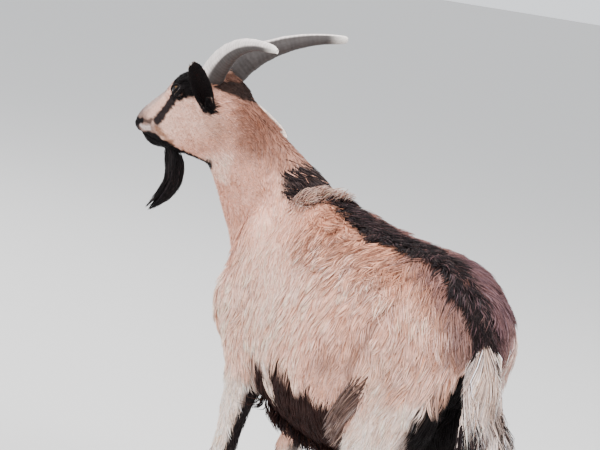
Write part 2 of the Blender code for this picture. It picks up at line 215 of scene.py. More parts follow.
def apply_all(obj):
    graph = bpy.context.evaluated_depsgraph_get()
    mesh = bpy.data.meshes.new_from_object(obj.evaluated_get(graph))
    obj.modifiers.clear()
    obj.data = mesh
    return obj


def read(items, what, width=1, kind=float):
    """One property of every item of a mesh, as an array with width columns."""
    found = np.empty(len(items) * width, kind)
    items.foreach_get(what, found)
    return found.reshape(-1, width) if width > 1 else found


def coords(mesh):
    return read(mesh.vertices, "co", 3)


def set_coords(mesh, points):
    mesh.vertices.foreach_set("co", np.ascontiguousarray(points).ravel())
    mesh.update()


def normals_of(mesh):
    return read(mesh.vertex_normals, "vector", 3)


def edges_of(mesh):
    return read(mesh.edges, "vertices", 2, int)


@contextlib.contextmanager
def editing(mesh):
    """Opens a mesh for editing and writes it back."""
    bm = bmesh.new()
    bm.from_mesh(mesh)
    yield bm
    bm.to_mesh(mesh)
    bm.free()


def remeshed(obj, voxel, rounds):
    """Makes one closed, softened surface of all that the object holds."""
    remesh = obj.modifiers.new("remesh", "REMESH")
    remesh.mode, remesh.voxel_size = "VOXEL", voxel
    soft = obj.modifiers.new("soft", "SMOOTH")
    soft.factor, soft.iterations = 0.5, rounds
    return apply_all(obj)


def spread(values, edges, rounds):
    """Smooths values over the mesh by averaging each with its neighbours."""
    values = np.array(values, float)
    flat = values.reshape(len(values), -1)
    count = np.bincount(edges.ravel(), minlength=len(flat)).clip(1)[:, None]
    for _ in range(rounds):
        total = np.zeros_like(flat)
        for k in range(flat.shape[1]):
            total[:, k] = np.bincount(edges[:, 0], flat[edges[:, 1], k], len(flat))
            total[:, k] += np.bincount(edges[:, 1], flat[edges[:, 0], k], len(flat))
        flat = 0.5 * flat + 0.5 * total / count
    return flat.reshape(values.shape)


def colour_points(mesh, name, colours):
    layer = mesh.color_attributes.new(name, "FLOAT_COLOR", "POINT")
    full = np.ones((len(mesh.vertices), 4), np.float32)
    full[:, :3] = colours
    layer.data.foreach_set("color", full.ravel())


def shade_smooth(mesh):
    mesh.polygons.foreach_set("use_smooth", np.ones(len(mesh.polygons), bool))
    mesh.update()


def swept(rows, across, points=24):
    """Rings round a path of rows (x, y, z, half depth, half width): (points, faces)."""
    centres, ways = rows[:, :3], unit(np.gradient(rows[:, :3], axis=0))
    side = unit(across - ways * (ways @ across)[:, None])
    fore = np.cross(ways, side)
    angles = 2 * np.pi * np.arange(points) / points
    ring = side[:, None] * np.sin(angles)[None, :, None] * rows[:, None, 4:5]
    ring = ring + fore[:, None] * np.cos(angles)[None, :, None] * rows[:, None, 3:4]
    verts = (centres[:, None] + ring).reshape(-1, 3)
    faces = []
    for low in range(0, (len(rows) - 1) * points, points):
        for k in range(points):
            after = (k + 1) % points
            faces.append((low + k, low + points + k, low + points + after, low + after))
    faces.append(tuple(range(points - 1, -1, -1)))
    faces.append(tuple(range(len(verts) - points, len(verts))))
    return verts, faces


# ---------------------------------------------------------------- markings

TAN = linear(255, 201, 178)
PALE_TAN = linear(255, 216, 197)
ORANGE = linear(208, 144, 114)
FLANK = linear(234, 180, 158)
THIGH = linear(244, 195, 174)
CREAM = linear(250, 232, 220)
NECK_TAN = linear(232, 176, 154)
NAPE = linear(132, 88, 72)
GREY = linear(74, 60, 58)
RUSSET = linear(106, 77, 79)
BLACK = linear(32, 24, 25)
SOOT = linear(13, 8, 9)
BRIDGE = linear(182, 156, 148)
CHEEK = linear(244, 196, 175)
LOWER_CHEEK = linear(222, 165, 143)

DARK_BROWN = linear(46, 27, 24)


def mix(base, colour, share):
    return base + (colour - base) * np.clip(share, 0, 1)[:, None]


def painter(colour, count):
    """Colours of count places, alike at first, and a function that lays another over them by shares."""
    c = np.tile(colour, (count, 1))

    def lay(over, share):
        c[:] = mix(c, over, share)

    return c, lay


def mane_share(g, n):
    """Where the dark mane grows: low on the nape, from its ridge over to the right side."""
    x, y, z = g.T
    over = ramp(x + 0.01 * noise(g, 0.03, 61), 0.068, 0.05)
    length = ramp(y + 0.01 * noise(g, 0.03, 63), -0.305, -0.272) * ramp(y, -0.18, -0.202)
    over = over * ramp(x + 0.014 * noise(g, 0.035, 62), -0.07, -0.02) * ramp(z, 0.7, 0.73)
    return over * length * ramp(n[:, 2] + 0.6 * n[:, 1] - 0.4 * n[:, 0], 0.18, 0.52)


def back_middle(y):
    """How far to its left the dark line of the back runs, the spine being a little bent."""
    places = (-0.2, -0.16, -0.12, -0.05, 0.08, 0.155, 0.22, 0.28, 0.32, 0.35)
    return np.interp(y, places, (-0.02, -0.005, 0.008, 0.018, 0.016, 0.021, 0.025, 0.025, 0.02, 0.012))


def back_half(y):
    """Half the width of that line."""
    places = (-0.2, -0.14, -0.05, 0.05, 0.14, 0.22, 0.34)
    return 0.0215 * np.interp(y, places, (0.75, 1.0, 1.45, 1.35, 1.05, 0.72, 0.76))


def body_colours(g, n):
    """Colours of trunk, neck, legs and tail root, from place g and outward normal n."""
    x, y, z = g.T
    ax, outward = np.abs(x), n[:, 0] * np.sign(x)
    wobble, fine = noise(g, 0.07, 3), noise(g, 0.022, 4)
    rough = z + 0.01 * wobble + 0.005 * fine
    c, lay = painter(TAN, len(g))
    lay(FLANK, 0.8 * ramp(y, 0.02, 0.16) * ramp(z, 0.66, 0.56))
    lay(PALE_TAN, 0.75 * ramp(y, 0.04, -0.1) * within(z, 0.4, 0.46, 0.58, 0.66))
    lay(ORANGE, 0.85 * ramp(rough, 0.655, 0.705) * ramp(y, -0.22, -0.12))
    lay(THIGH, ramp(y, 0.16, 0.26) * ramp(z, 0.64, 0.56))
    rump = ramp(y + 0.01 * wobble, 0.1, 0.2) * ramp(x + 0.006 * fine, 0.085, 0.05)
    lay(RUSSET, np.where(x < 0, 1.0, 0.8) * rump * ramp(rough, 0.575, 0.62))
    beyond = ramp(x + 0.006 * fine, 0.012, -0.004) * ramp(x, -0.105, -0.07)
    lay(RUSSET, 0.9 * beyond * ramp(y, -0.2, -0.13) * ramp(rough, 0.66, 0.69))
    lay(linear(184, 146, 138), 0.7 * ramp(y, 0.24, 0.3) * ramp(z, 0.69, 0.64) * ramp(x, -0.01, -0.03))
    neck = ramp(y, -0.265, -0.315)
    lay(NECK_TAN, neck * ramp(z, 0.5, 0.6))
    lay(PALE_TAN, 0.9 * ramp(y + 0.62 * (z - 0.6), -0.385, -0.425) * ramp(z, 0.45, 0.52))
    above = ramp(n[:, 1] + 0.8 * n[:, 2] - 0.5 * n[:, 0], 0.1, 0.75)
    lay(NAPE, 0.75 * neck * ramp(z, 0.67, 0.76) * above)
    # dark line from the nape over the withers to the tail
    lay(GREY, 0.85 * mane_share(g, n))
    width = back_half(y) + 0.005 * wobble + 0.004 * fine
    stripe = ramp(np.abs(x - back_middle(y)) + 0.003 * fine, width + 0.005, width - 0.004)
    lay(BLACK, stripe * ramp(y, -0.235, -0.205) * ramp(z, 0.6, 0.635))
    # legs: pale outside, dark within and behind; dark below the joints with pale pasterns
    leg = ramp(z, 0.43, 0.385) * (ax > 0.015)
    fore, hind = leg * (y < 0.02), leg * (y >= 0.02)
    lay(CREAM, 0.85 * fore * ramp(outward - 0.4 * n[:, 1], -0.25, 0.25))
    turned_in = outward - 0.75 * n[:, 1] + 0.15 * fine
    lay(BLACK, fore * ramp(turned_in, 0.2, -0.2) * (x > 0))
    lay(DARK_BROWN, fore * ramp(turned_in, 0.05, -0.35) * ramp(z, 0.3, 0.34) * (x < 0))
    lay(BLACK, fore * ramp(n[:, 1] + 0.1 * fine, 0.6, 0.85) * (x < 0))
    lay(CREAM, 0.75 * hind * ramp(outward, -0.2, 0.4))
    pale_top = np.interp(y, (0.1, 0.138, 0.215, 0.308, 0.36), (0.36, 0.398, 0.48, 0.512, 0.535))
    lay(CREAM, 0.6 * ramp(rough - pale_top, 0.03, -0.015) * ramp(y, 0.09, 0.12) * ramp(outward, -0.3, 0.3))
    shin = ramp(rough, 0.25, 0.215)
    lay(BLACK, shin * ramp(0.2 * fine - n[:, 1], -0.1, 0.45) * ramp(z, 0.07, 0.1))
    lay(CREAM, 0.8 * shin * ramp(-n[:, 1], 0.2, -0.3) * ramp(z, 0.05, 0.08))
    lay(BLACK, shin * ramp(rough, 0.065, 0.045))
    # dark underside
    under = ramp(-n[:, 2] + 0.12 * fine, 0.3, 0.62) * within(z, 0.3, 0.34, 0.43, 0.47)
    lay(SOOT, under * ramp(y, -0.35, -0.3) * (z > 0.29))
    places = (-0.2, -0.16, -0.112, -0.026, 0.087, 0.15)
    belly_top = np.interp(y, places, (0.447, 0.451, 0.457, 0.47, 0.448, 0.44))
    belly = ramp(rough - belly_top, 0.008, -0.01) * within(y, -0.185, -0.16, 0.135, 0.155)
    lay(DARK_BROWN, belly * (z > 0.29))
    # dark breeches on the back of the thighs, beside the tail
    heights = (0.3, 0.43, 0.485, 0.53, 0.56, 0.585, 0.615)
    edge = np.interp(z, heights, (0.264, 0.281, 0.293, 0.31, 0.33, 0.356, 0.41))
    edge = edge - 0.1 * ramp(ax, 0.045, 0.0)
    knee = ramp(z, 0.27, 0.31)
    back = ramp(y - edge + 0.004 * fine, -0.006, 0.008) * ramp(rough, 0.605, 0.585) * knee
    lay(SOOT, back * ramp(ax, 0.1, 0.086))
    lay(SOOT, ramp(outward, 0.0, -0.35) * ramp(y, 0.1, 0.16) * ramp(z, 0.52, 0.47) * knee)
    # painted shade in the crease between barrel and thigh and in a patch on the barrel before it, and a paler
    # patch on the front of the thigh behind the crease
    crease = np.interp(z, (0.4, 0.489, 0.527, 0.611, 0.699), (0.14, 0.158, 0.162, 0.18, 0.216))
    outer = 1.0 * (outward > 0.2)
    line = spot((y, crease, 0.01)) * within(z, 0.4, 0.44, 0.64, 0.69)
    lay(linear(128, 92, 82), 0.55 * line * outer)
    lay(linear(140, 104, 92), 0.55 * spot((y, 0.11, 0.035), (z, 0.515, 0.035)) * outer)
    lay(linear(255, 222, 202), 0.6 * spot((y, 0.208, 0.032), (z, 0.52, 0.05)) * outer)
    return c


def segment_share(p, start, end):
    """Distance of points p from a straight line between start and end, in the head's side view."""
    start, end = np.array(start), np.array(end)
    along = np.clip((p - start) @ (end - start) / ((end - start) @ (end - start)), 0, 1)
    return np.linalg.norm(p - start - along[:, None] * (end - start), axis=1), along


# upper edge of the black from the lips along the jaw to the throat, and the middle line of the dark
# band behind the horns, in the head's side view
JAW_LINE_Y = (-0.225, -0.194, -0.18, -0.165, -0.14, -0.115, -0.075, -0.03, -0.01)
JAW_LINE_Z = (-0.078, -0.08, -0.086, -0.1, -0.116, -0.129, -0.148, -0.152, -0.175)
NAPE_BAND = ((-0.004, -0.012), (0.062, -0.052))


def nape_share(h, fine):
    """Where the brown of the nape starts behind the cheeks."""
    return ramp(h[:, 1] + 0.1 * (h[:, 2] + 0.06) + 0.006 * fine, -0.012, 0.036)


def head_colours(h):
    """Colours of the head, from place h in the head's frame."""
    x, y, z = h.T
    ax, fine = np.abs(x), noise(h, 0.016, 8)
    side = h[:, 1:]
    c, lay = painter(CHEEK, len(h))
    lay(LOWER_CHEEK, ramp(z, -0.088, -0.118) * ramp(y, -0.165, -0.125) * 0.8)
    lay(NECK_TAN, ramp(y, -0.03, 0.01))
    lay(linear(180, 134, 114), 0.7 * spot((y, -0.022, 0.028), (z, -0.095, 0.028)))
    lay(NAPE, 0.85 * nape_share(h, fine) * ramp(z, -0.172, -0.112))
    lay(PALE_TAN, 0.8 * ramp(z, -0.125, -0.15) * ramp(y, -0.1, -0.06))
    # greyish bridge of the nose between the dark stripes
    lay(BRIDGE, ramp(ax, 0.028, 0.02) * ramp(y, -0.115, -0.135) * ramp(z, -0.085, -0.06))
    lay(linear(120, 96, 90), 0.6 * ramp(ax, 0.013, 0.003) * ramp(y, -0.11, -0.13) * (z > -0.06))
    stripe, _ = segment_share(side, (-0.096, -0.014), (-0.168, -0.062))
    lay(linear(42, 33, 33), ramp(stripe + 0.0015 * fine, 0.0125, 0.0065) * ramp(ax, 0.01, 0.016))
    # dark forehead and surround of the eye
    lay(SOOT, ramp(z + 0.003 * fine, -0.034, -0.025) * within(y, -0.118, -0.108, -0.05, -0.04))
    lay(SOOT, 0.95 * ramp(z, 0, 0.008) * within(y, -0.136, -0.12, -0.034, -0.02))
    # tan tuft behind the horns, dark between them, and the dark band across the nape
    tuft = ramp(y, -0.034, -0.018) * ramp(z, -0.03, -0.012) * ramp(y, 0.03, 0.02)
    lay(linear(150, 104, 84), 0.85 * tuft)
    between = ramp(ax, 0.03, 0.015) * ramp(y, -0.03, -0.015) * ramp(z, -0.018, -0.006)
    lay(linear(70, 44, 36), 0.8 * between)
    band, reach = segment_share(side, *NAPE_BAND)
    lay(SOOT, 0.95 * ramp(band + 0.0015 * fine - 0.006 * reach, 0.01, 0.0055))
    # muzzle: dark nostrils and nose, pale spot over the lip, black lower lip, chin and jaw line
    lay(linear(100, 80, 74), 0.75 * ramp(y + 0.5 * (z + 0.06) + 0.004 * fine, -0.168, -0.194))
    hole, _ = segment_share(side, (-0.221, -0.056), (-0.206, -0.057))
    lay(SOOT, ramp(hole + 0.0022 * fine, 0.01, 0.005) * ramp(ax, 0.001, 0.004))
    slit, _ = segment_share(side, (-0.206, -0.057), (-0.182, -0.06))
    lay(SOOT, 0.7 * ramp(slit + 0.0022 * fine, 0.0065, 0.002) * ramp(ax, 0.002, 0.006))
    pale, _ = segment_share(side, (-0.206, -0.069), (-0.192, -0.072))
    lay(linear(206, 186, 180), ramp(pale + 0.0015 * fine, 0.008, 0.0035))
    corner, _ = segment_share(side, (-0.174, -0.078), (-0.146, -0.108))
    lay(linear(140, 96, 70), 0.8 * ramp(corner + 0.002 * fine, 0.01, 0.002))
    under = z - np.interp(y, JAW_LINE_Y, JAW_LINE_Z) + 0.0015 * fine
    lay(SOOT, ramp(under, 0.003, -0.002) * ramp(y, -0.046, -0.06) * (z > -0.165))
    lay(SOOT, 0.9 * ramp(y + 0.001 * fine, -0.209, -0.217) * ramp(z, -0.045, -0.052))
    cup = np.linalg.norm(h - np.array(EAR_ROOTS[1]) - np.array([0.004, 0.006, -0.002]), axis=1)
    lay(SOOT, ramp(cup + 0.002 * fine, 0.023, 0.017))
    return c


def colours_at(points, normals):
    """Coat colours at points on the body, with their outward normals."""
    g, h = to_goat(points), to_head(points)
    along, low, fine = h[:, 1], h[:, 2], noise(h, 0.016, 8)
    nape = nape_share(h, fine) * ramp(along + 0.01 * fine, 0.125, 0.07)
    nape = 0.85 * nape * ramp(low, -0.185, -0.125) * (g[:, 2] > 0.74)
    share = ramp(along - 0.25 * (low + 0.06), 0.042, 0.012) * (g[:, 2] > 0.7)
    band = ramp(segment_share(h[:, 1:], *NAPE_BAND)[0], 0.018, 0.012)
    share = np.maximum(share, band * (g[:, 2] > 0.8))
    return mix(mix(body_colours(g, normals), NAPE, nape), head_colours(h), share)


# ---------------------------------------------------------------- skin

FLESH_KINDS = ("head", "neck", "trunk", "foreleg", "hindleg")
FLESH = [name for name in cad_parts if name.split("_")[0] in FLESH_KINDS]
COAT_DEPTH = {"head": 0.003, "neck": 0.005, "trunk": 0.008, "upper": 0.0045, "lower": 0.0022}


def coat_kind(name):
    """The kind of coat on a node of flesh: upper or lower on a leg, its own name elsewhere."""
    return name.split("_")[-1] if "leg" in name else name


def grown_copy(names, amount):
    bm = bmesh.new()
    for name in names:
        bm.from_mesh(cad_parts[name].data)
    bmesh.ops.remove_doubles(bm, verts=bm.verts, dist=WELD)
    bm.normal_update()
    for v in bm.verts:
        v.co += v.normal * amount
    mesh = bpy.data.meshes.new("skin")
    bm.to_mesh(mesh)
    bm.free()
    return placed("skin", mesh)


def dock_rows():
    rows = smooth_rows(TAIL, 4)
    rows = rows[: int(len(rows) * DOCK_SHARE)].copy()
    rows[:, 3] = np.linspace(0.0125, 0.006, len(rows))
    rows[:, 4] = np.linspace(0.015, 0.007, len(rows))
    rows[:, :3] += SHIFT
    return rows


def region_values(points):
    """For each point, the coat depth of the nearest node of flesh, and that node's number."""
    best, depth = np.full(len(points), 9.0), np.zeros(len(points))
    label = np.zeros(len(points), int)
    for index, name in enumerate(FLESH):
        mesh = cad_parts[name].data
        tree = BVHTree.FromPolygons([v.co[:] for v in mesh.vertices], [p.vertices[:] for p in mesh.polygons])
        low, high = (np.array(v) - 0.03 * s for v, s in zip(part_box(name), (1, -1)))
        near = np.all((points > low) & (points < high), axis=1)
        for k in np.flatnonzero(near):
            away = tree.find_nearest(points[k])[3]
            if away < best[k]:
                best[k], depth[k], label[k] = away, COAT_DEPTH[coat_kind(name)], index
    return depth, label


def build_skin():
    """One closed skin over the flesh, the eyes and the dock of the tail, finer on the head."""
    skin = grown_copy(FLESH, SKIN_SWELL)
    dock_points, dock_faces = swept(dock_rows(), SIDEWAYS, 12)
    with editing(skin.data) as bm:
        for side in (1, -1):
            at = Matrix.Translation(Vector(from_head(both(EYE_AT, side))))
            bmesh.ops.create_icosphere(bm, subdivisions=3, radius=EYE_RADIUS + 0.001, matrix=at)
        made = [bm.verts.new(p) for p in dock_points]
        for face in dock_faces:
            bm.faces.new([made[k] for k in face])
        bmesh.ops.recalc_face_normals(bm, faces=bm.faces)
    remeshed(skin, VOXEL, 5)
    # finer mesh on the head, finest on the muzzle and round the eyes
    for limit, ball in ((0.03, False), (-0.1, True)):
        with editing(skin.data) as bm:
            centres = np.array([f.calc_center_median()[:] for f in bm.faces])
            h = to_head(centres)
            chosen = (to_goat(centres)[:, 2] > 0.7) & (h[:, 1] < limit) & (np.abs(h[:, 0]) < 0.09)
            for side in (1, -1) if ball else ():
                chosen |= np.linalg.norm(h - both(EYE_AT, side), axis=1) < 0.032
            edges = list({e for f, fine in zip(bm.faces, chosen) if fine for e in f.edges})
            bmesh.ops.subdivide_edges(bm, edges=edges, cuts=1, use_grid_fill=True)
            bmesh.ops.triangulate(bm, faces=[f for f in bm.faces if len(f.verts) > 4])
    return skin


def eye_axes(side):
    """Outward, forward and upward directions of an eye, in the head's frame."""
    out = unit([0.88 * side, -0.36, 0.2])
    fore = np.array([0.0, -0.9, -0.42])
    fore = unit(fore - out * (fore @ out))
    up = np.cross(fore, out) * side
    return out, fore, up if up[2] > 0 else -up


MOUTH = ((-0.236, -0.074), (-0.2121, -0.0795), (-0.1974, -0.09), (-0.1751, -0.101), (-0.148, -0.107))


def shape_skin(skin):
    """Sets the skin in by the coat's depth, then carves eyes, nostrils and mouth."""
    mesh = skin.data
    points, edges = coords(mesh), edges_of(mesh)
    depth, _ = region_values(points)
    g, h = to_goat(points), to_head(points)
    x, y, z = g.T
    depth = np.where((y > 0.3) & (z > 0.56) & (np.abs(x) < 0.03), 0.004, depth)
    depth = spread(depth, edges, 20)
    ridge = ramp(np.abs(x), 0.06, 0.015) * within(y, -0.28, -0.2, 0.28, 0.34) * ramp(z, 0.66, 0.7)
    depth += 0.005 * ridge
    muzzle = ramp(h[:, 1], -0.1, -0.15) * (g[:, 2] > 0.7)
    depth = depth * (1 - 0.5 * muzzle)
    points = points - normals_of(mesh) * depth[:, None]
    set_coords(mesh, points)

    h = to_head(coords(mesh))
    on_head = to_goat(coords(mesh))[:, 2] > 0.7
    moved = h.copy()
    for side in (1, -1):
        centre = both(EYE_AT, side)
        out, fore, up = eye_axes(side)
        rel = h - centre
        s, t, depth_in = rel @ fore, rel @ up, rel @ out
        away = np.linalg.norm(rel, axis=1)
        near = on_head & (away < 0.03) & (depth_in > -0.004)
        almond = np.hypot(s / EYE_OPENING[0], t / EYE_OPENING[1])
        ways = unit(rel)
        inside = ramp(almond, 1.06, 0.94)
        rim = np.maximum(away, EYE_RADIUS + 0.0012 * ramp(almond, 2.2, 1.0))
        target = rim * (1 - inside) + (EYE_RADIUS - 0.005) * inside
        fade = ramp(almond, 2.6, 1.6)
        new = centre + ways * (away + (target - away) * fade)[:, None]
        moved[near] = new[near]
        # brow ridge over the eye and hollow below it
        brow = spot((s, -0.001, 0.016), (t, 0.0165, 0.006))
        hollow = spot((s, 0, 0.018), (t, -0.018, 0.007))
        lift = 0.0022 * brow - 0.0018 * hollow
        moved[near] += (out * lift[:, None])[near]
        # nostril: a slanting comma
        hole = both((0.0125, -0.2255, -0.0575), side)
        rel = h - hole
        long_way = unit([0.55 * side, 0.6, 0.58])
        along = rel @ long_way
        off = np.linalg.norm(rel - along[:, None] * long_way, axis=1)
        pit = np.exp(-((along / 0.0075) ** 4) - (off / 0.0032) ** 2)
        wing = np.exp(-((along / 0.01) ** 4) - ((off - 0.0075) / 0.0035) ** 2)
        inward = unit([-0.55 * side, 0.8, -0.1])
        moved += (on_head * 0.005 * pit)[:, None] * inward - (on_head * 0.001 * wing)[:, None] * inward
    # mouth line
    line = smooth_rows([(0, *p, 0, 0) for p in MOUTH], 5)[:, 1:3]
    side_view = h[:, 1:]
    gap = np.full(len(h), 9.0)
    for start, end in zip(line, line[1:]):
        gap = np.minimum(gap, segment_share(side_view, start, end)[0])
    groove = spot((gap, 0, 0.002)) * (h[:, 1] < -0.14) * on_head
    inward = unit(np.stack([-np.sign(h[:, 0]) * 0.9, 0.25 + 0 * gap, 0 * gap], 1))
    moved += (0.0026 * groove)[:, None] * inward
    lipfold = spot((gap, 0.0045, 0.0022)) * (h[:, 1] < -0.15) * on_head
    moved -= (0.0007 * lipfold)[:, None] * inward
    changed = np.linalg.norm(moved - h, axis=1) > 1e-7
    final = coords(mesh)
    final[changed] = from_head(moved[changed])
    set_coords(mesh, final)


def lids():
    """Eyelids as two swept rims along each almond opening: points, faces."""
    all_points, all_faces = [], []
    for side in (1, -1):
        centre = both(EYE_AT, side)
        out, fore, up = eye_axes(side)
        for upper in (1, -1):
            rows = []
            for a in np.linspace(0, math.pi, 25):
                s, t = 0.012 * math.cos(a), upper * EYE_OPENING[1] * math.sin(a) ** 0.85
                flat = fore * s + up * t
                lift = math.sqrt(max((EYE_RADIUS + 0.0004) ** 2 - flat @ flat, 0))
                thick = (0.0032 if upper == 1 else 0.003) * (0.4 + 0.6 * math.sin(a))
                rows.append((*(centre + flat + out * lift), thick, thick))
            verts, faces = swept(np.array(rows), out, 10)
            base = sum(len(p) for p in all_points)
            all_points.append(from_head(verts))
            all_faces += [tuple(base + k for k in f) for f in faces]
    return np.vstack(all_points), all_faces


def ear_axes(side):
    """Directions of an ear in the head's frame: to its tip, into its hollow and across."""
    way, mouth = unit(np.array(EAR_AIMS[side])), np.array(EAR_MOUTHS[side])
    mouth = unit(mouth - way * (mouth @ way))
    return way, mouth, np.cross(way, mouth)


def ear_places(points, side):
    """Along an ear, from 0 at its root to 1 at its tip, and across it as a share of its half width."""
    way, _, across = ear_axes(side)
    rel = to_head(points) - both(EAR_ROOTS[side], side)
    along = rel @ way / EAR_LENGTH
    return along, rel @ across / np.interp(along, EAR_MARKS, EAR_HALVES)


def ear_colours(points, normals, side):
    along, across = ear_places(points, side)
    inside = ramp(normals @ (HEAD_TURN @ ear_axes(side)[1]), -0.15, 0.25)
    # the pale rim and tip are a painted highlight along the ear's edges
    rim = np.maximum(ramp(np.abs(across), 0.45, 0.7), ramp(along, 0.8, 0.92))
    c, lay = painter(NAPE, len(points))
    lay(SOOT, inside)
    lay(CREAM, 0.95 * rim * (1 - inside))
    if side == 1:
        lay(SOOT, ramp(np.abs(across), 0.7, 0.88))
    return c


def ear_mesh(word):
    """The skin of an ear: its CAD leaf, softened."""
    obj = placed("ear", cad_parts[f"ear_{word}"].data.copy())
    with editing(obj.data) as bm:
        bmesh.ops.remove_doubles(bm, verts=bm.verts, dist=WELD)
    return remeshed(obj, EAR_VOXEL, 6)


# ---------------------------------------------------------------- assemble the skin

skin = build_skin()
shape_skin(skin)
pieces = [(skin, colours_at(coords(skin.data), normals_of(skin.data)))]
for side, word in SIDES:
    leaf = ear_mesh(word)
    pieces.append((leaf, ear_colours(coords(leaf.data), normals_of(leaf.data), side)))
lid_points, lid_faces = lids()
pieces.append((mesh_object("lids", lid_points, lid_faces), np.tile(SOOT, (len(lid_points), 1))))

# the piece each face of the joined skin comes from: 0 the body, 1 and 2 the ears, 3 the lids
face_piece = np.repeat(np.arange(len(pieces)), [len(obj.data.polygons) for obj, _ in pieces])
joined = bmesh.new()
for obj, _ in pieces:
    joined.from_mesh(obj.data)
joined.to_mesh(skin.data)
joined.free()
for obj, _ in pieces[1:]:
    bpy.data.objects.remove(obj)
shade_smooth(skin.data)
# the skin takes the coat's colours, darkened as painted shade under the hair
colour_points(skin.data, "coat_colour", np.vstack([c for _, c in pieces]) * SKIN_SHADE)

bpy.context.view_layer.objects.active = skin
skin.select_set(True)
bpy.ops.object.mode_set(mode="EDIT")
bpy.ops.mesh.select_all(action="SELECT")
bpy.ops.uv.smart_project(angle_limit=math.radians(66), island_margin=0.001)
bpy.ops.object.mode_set(mode="OBJECT")
skin.data.uv_layers[0].name = "OFBake"
print("skin", len(skin.data.polygons), "faces")

# ---------------------------------------------------------------- the coat's fields

mesh = skin.data
mesh.calc_loop_triangles()
tri_count = len(mesh.loop_triangles)
tri_verts = read(mesh.loop_triangles, "vertices", 3, int)
tri_loops = read(mesh.loop_triangles, "loops", 3, int)
tri_piece = face_piece[read(mesh.loop_triangles, "polygon_index", 1, int)]
loop_uv = read(mesh.uv_layers[0].data, "uv", 2)
skin_points, skin_normals = coords(mesh), normals_of(mesh)
corner = skin_points[tri_verts]
tri_area = 0.5 * np.linalg.norm(np.cross(corner[:, 1] - corner[:, 0], corner[:, 2] - corner[:, 0]), axis=1)
tri_normal = unit(skin_normals[tri_verts].mean(1))
tree = BVHTree.FromPolygons([tuple(p) for p in skin_points], [tuple(t) for t in tri_verts])
on_body = tri_piece == 0

# a tuft's section in shares of its width, its width from root to tip, and how shade browns its colour
BLADE_CORNERS = ((-0.5, -0.1), (0.5, -0.1), (0, 0.2))
TAPER_MARKS, TAPER = (0, 1 / 3, 2 / 3, 1), (0.75, 1.0, 0.72, 0.0)
BROWNING = np.array([0.75, 1.0, 1.2])

# the values of a tuft: height is that of its tip, density in tufts per square metre, gather the pull
# towards the middle of its lock, wave the swing of its tip
LENGTH, WIDTH, HEIGHT, DENSITY, GATHER, WAVE = range(6)
SPECS = {
    "head": (0.01, 0.0016, 0.0028, 120000, 0.3, 0.0004),
    "neck": (0.023, 0.0019, 0.0044, 44000, 0.5, 0.001),
    "trunk": (0.035, 0.0024, 0.0078, 37500, 0.88, 0.002),
    "upper": (0.024, 0.002, 0.0044, 38500, 0.5, 0.001),
    "lower": (0.012, 0.0018, 0.0024, 62000, 0.3, 0.0006),
}


def body_fields():
    """Length, width, height, density, gather and wave, and the way of the hair, at each skin point."""
    edges = edges_of(mesh)
    _, label = region_values(skin_points)
    kinds = [coat_kind(name) for name in FLESH]
    values = np.array([SPECS[kind] for kind in kinds])[label]
    x, y, z = to_goat(skin_points).T
    across, along, high = to_head(skin_points).T
    names = np.array(kinds)[label]
    limb = np.isin(names, ("upper", "lower"))
    # the coat parts along the spine and falls straight down the sides
    slope = np.sign(x) * 0.45 * ramp(z, 0.6, 0.71)
    back_share = np.interp(y, (-0.3, -0.1, 0.12, 0.24, 0.36), (0.3, 0.12, 0.08, -0.1, -0.22))
    way = np.stack([slope, back_share, np.full(len(x), -1.0)], 1)
    way[names == "neck"] = (-0.1, 0.5, -0.85)
    drop = np.interp(high, (-0.15, -0.06, 0.0), (-0.75, -0.35, 0.05))
    head_way = np.stack([np.sign(across) * 0.25 * ramp(high, -0.01, 0.01), 0.95 + 0 * x, drop], 1)
    head_way = head_way @ HEAD_TURN.T
    way[names == "head"] = head_way[names == "head"]
    fore, hind = limb & (y < 0.02), limb & (y >= 0.02)
    way[fore] = (0, 0.12, -1)
    way[hind] = np.where(z[hind, None] > 0.3, (0, -0.2, -1), (0, 0.15, -1))
    way = unit(spread(unit(way), edges, 30))
    values = spread(values, edges, 14)
    # the head's own lengths: shortest at the muzzle, a shock on the forehead, longer under the jaw
    on_head = ramp(along, 0.02, 0.0) * (z > 0.74)
    face = np.interp(along, (-0.23, -0.15, -0.09, -0.03, 0.01), (0.0032, 0.005, 0.007, 0.011, 0.016))
    crown = ramp(high, -0.004, 0.01) * within(along, -0.125, -0.105, -0.03, -0.01)
    face += 0.014 * crown + 0.006 * ramp(high, -0.105, -0.135) * ramp(along, -0.16, -0.12)
    values[:, LENGTH] += (face - values[:, LENGTH]) * on_head
    values[:, WIDTH] *= 1 - 0.35 * on_head * ramp(along, -0.08, -0.16)
    values[:, HEIGHT] *= 1 - 0.45 * on_head * ramp(along, -0.1, -0.18)
    values[:, HEIGHT] += 0.004 * crown * on_head
    body = 1 - on_head
    low = within(z, 0.33, 0.36, 0.42, 0.47) * ramp(y, -0.36, -0.3) * (~limb)
    thigh = ramp(y, 0.18, 0.26) * within(z, 0.3, 0.4, 0.52, 0.6)
    chest = ramp(y, -0.3, -0.36) * within(z, 0.38, 0.42, 0.5, 0.58)
    values[:, LENGTH] += body * (0.008 * low + 0.012 * thigh + 0.006 * chest)
    values[:, HEIGHT] += body * (0.002 * low + 0.002 * thigh)
    curly = ramp(z, 0.645, 0.685) * within(y, -0.2, -0.1, 0.18, 0.26)
    values[:, WAVE] *= 1 + 2.0 * curly
    values[:, HEIGHT] += 0.002 * curly
    return values, way


values, ways_field = body_fields()


def scatter(count, weights):
    """Roots over the skin: triangle, corner shares."""
    chosen = rng.choice(tri_count, size=count, p=weights / weights.sum())
    a, b = np.sqrt(rng.random(count)), rng.random(count)
    return chosen, np.stack([1 - a, a * (1 - b), a * b], 1)


def at_roots(field, chosen, shares):
    return np.einsum("nk,nk...->n...", shares, field[tri_verts[chosen]])


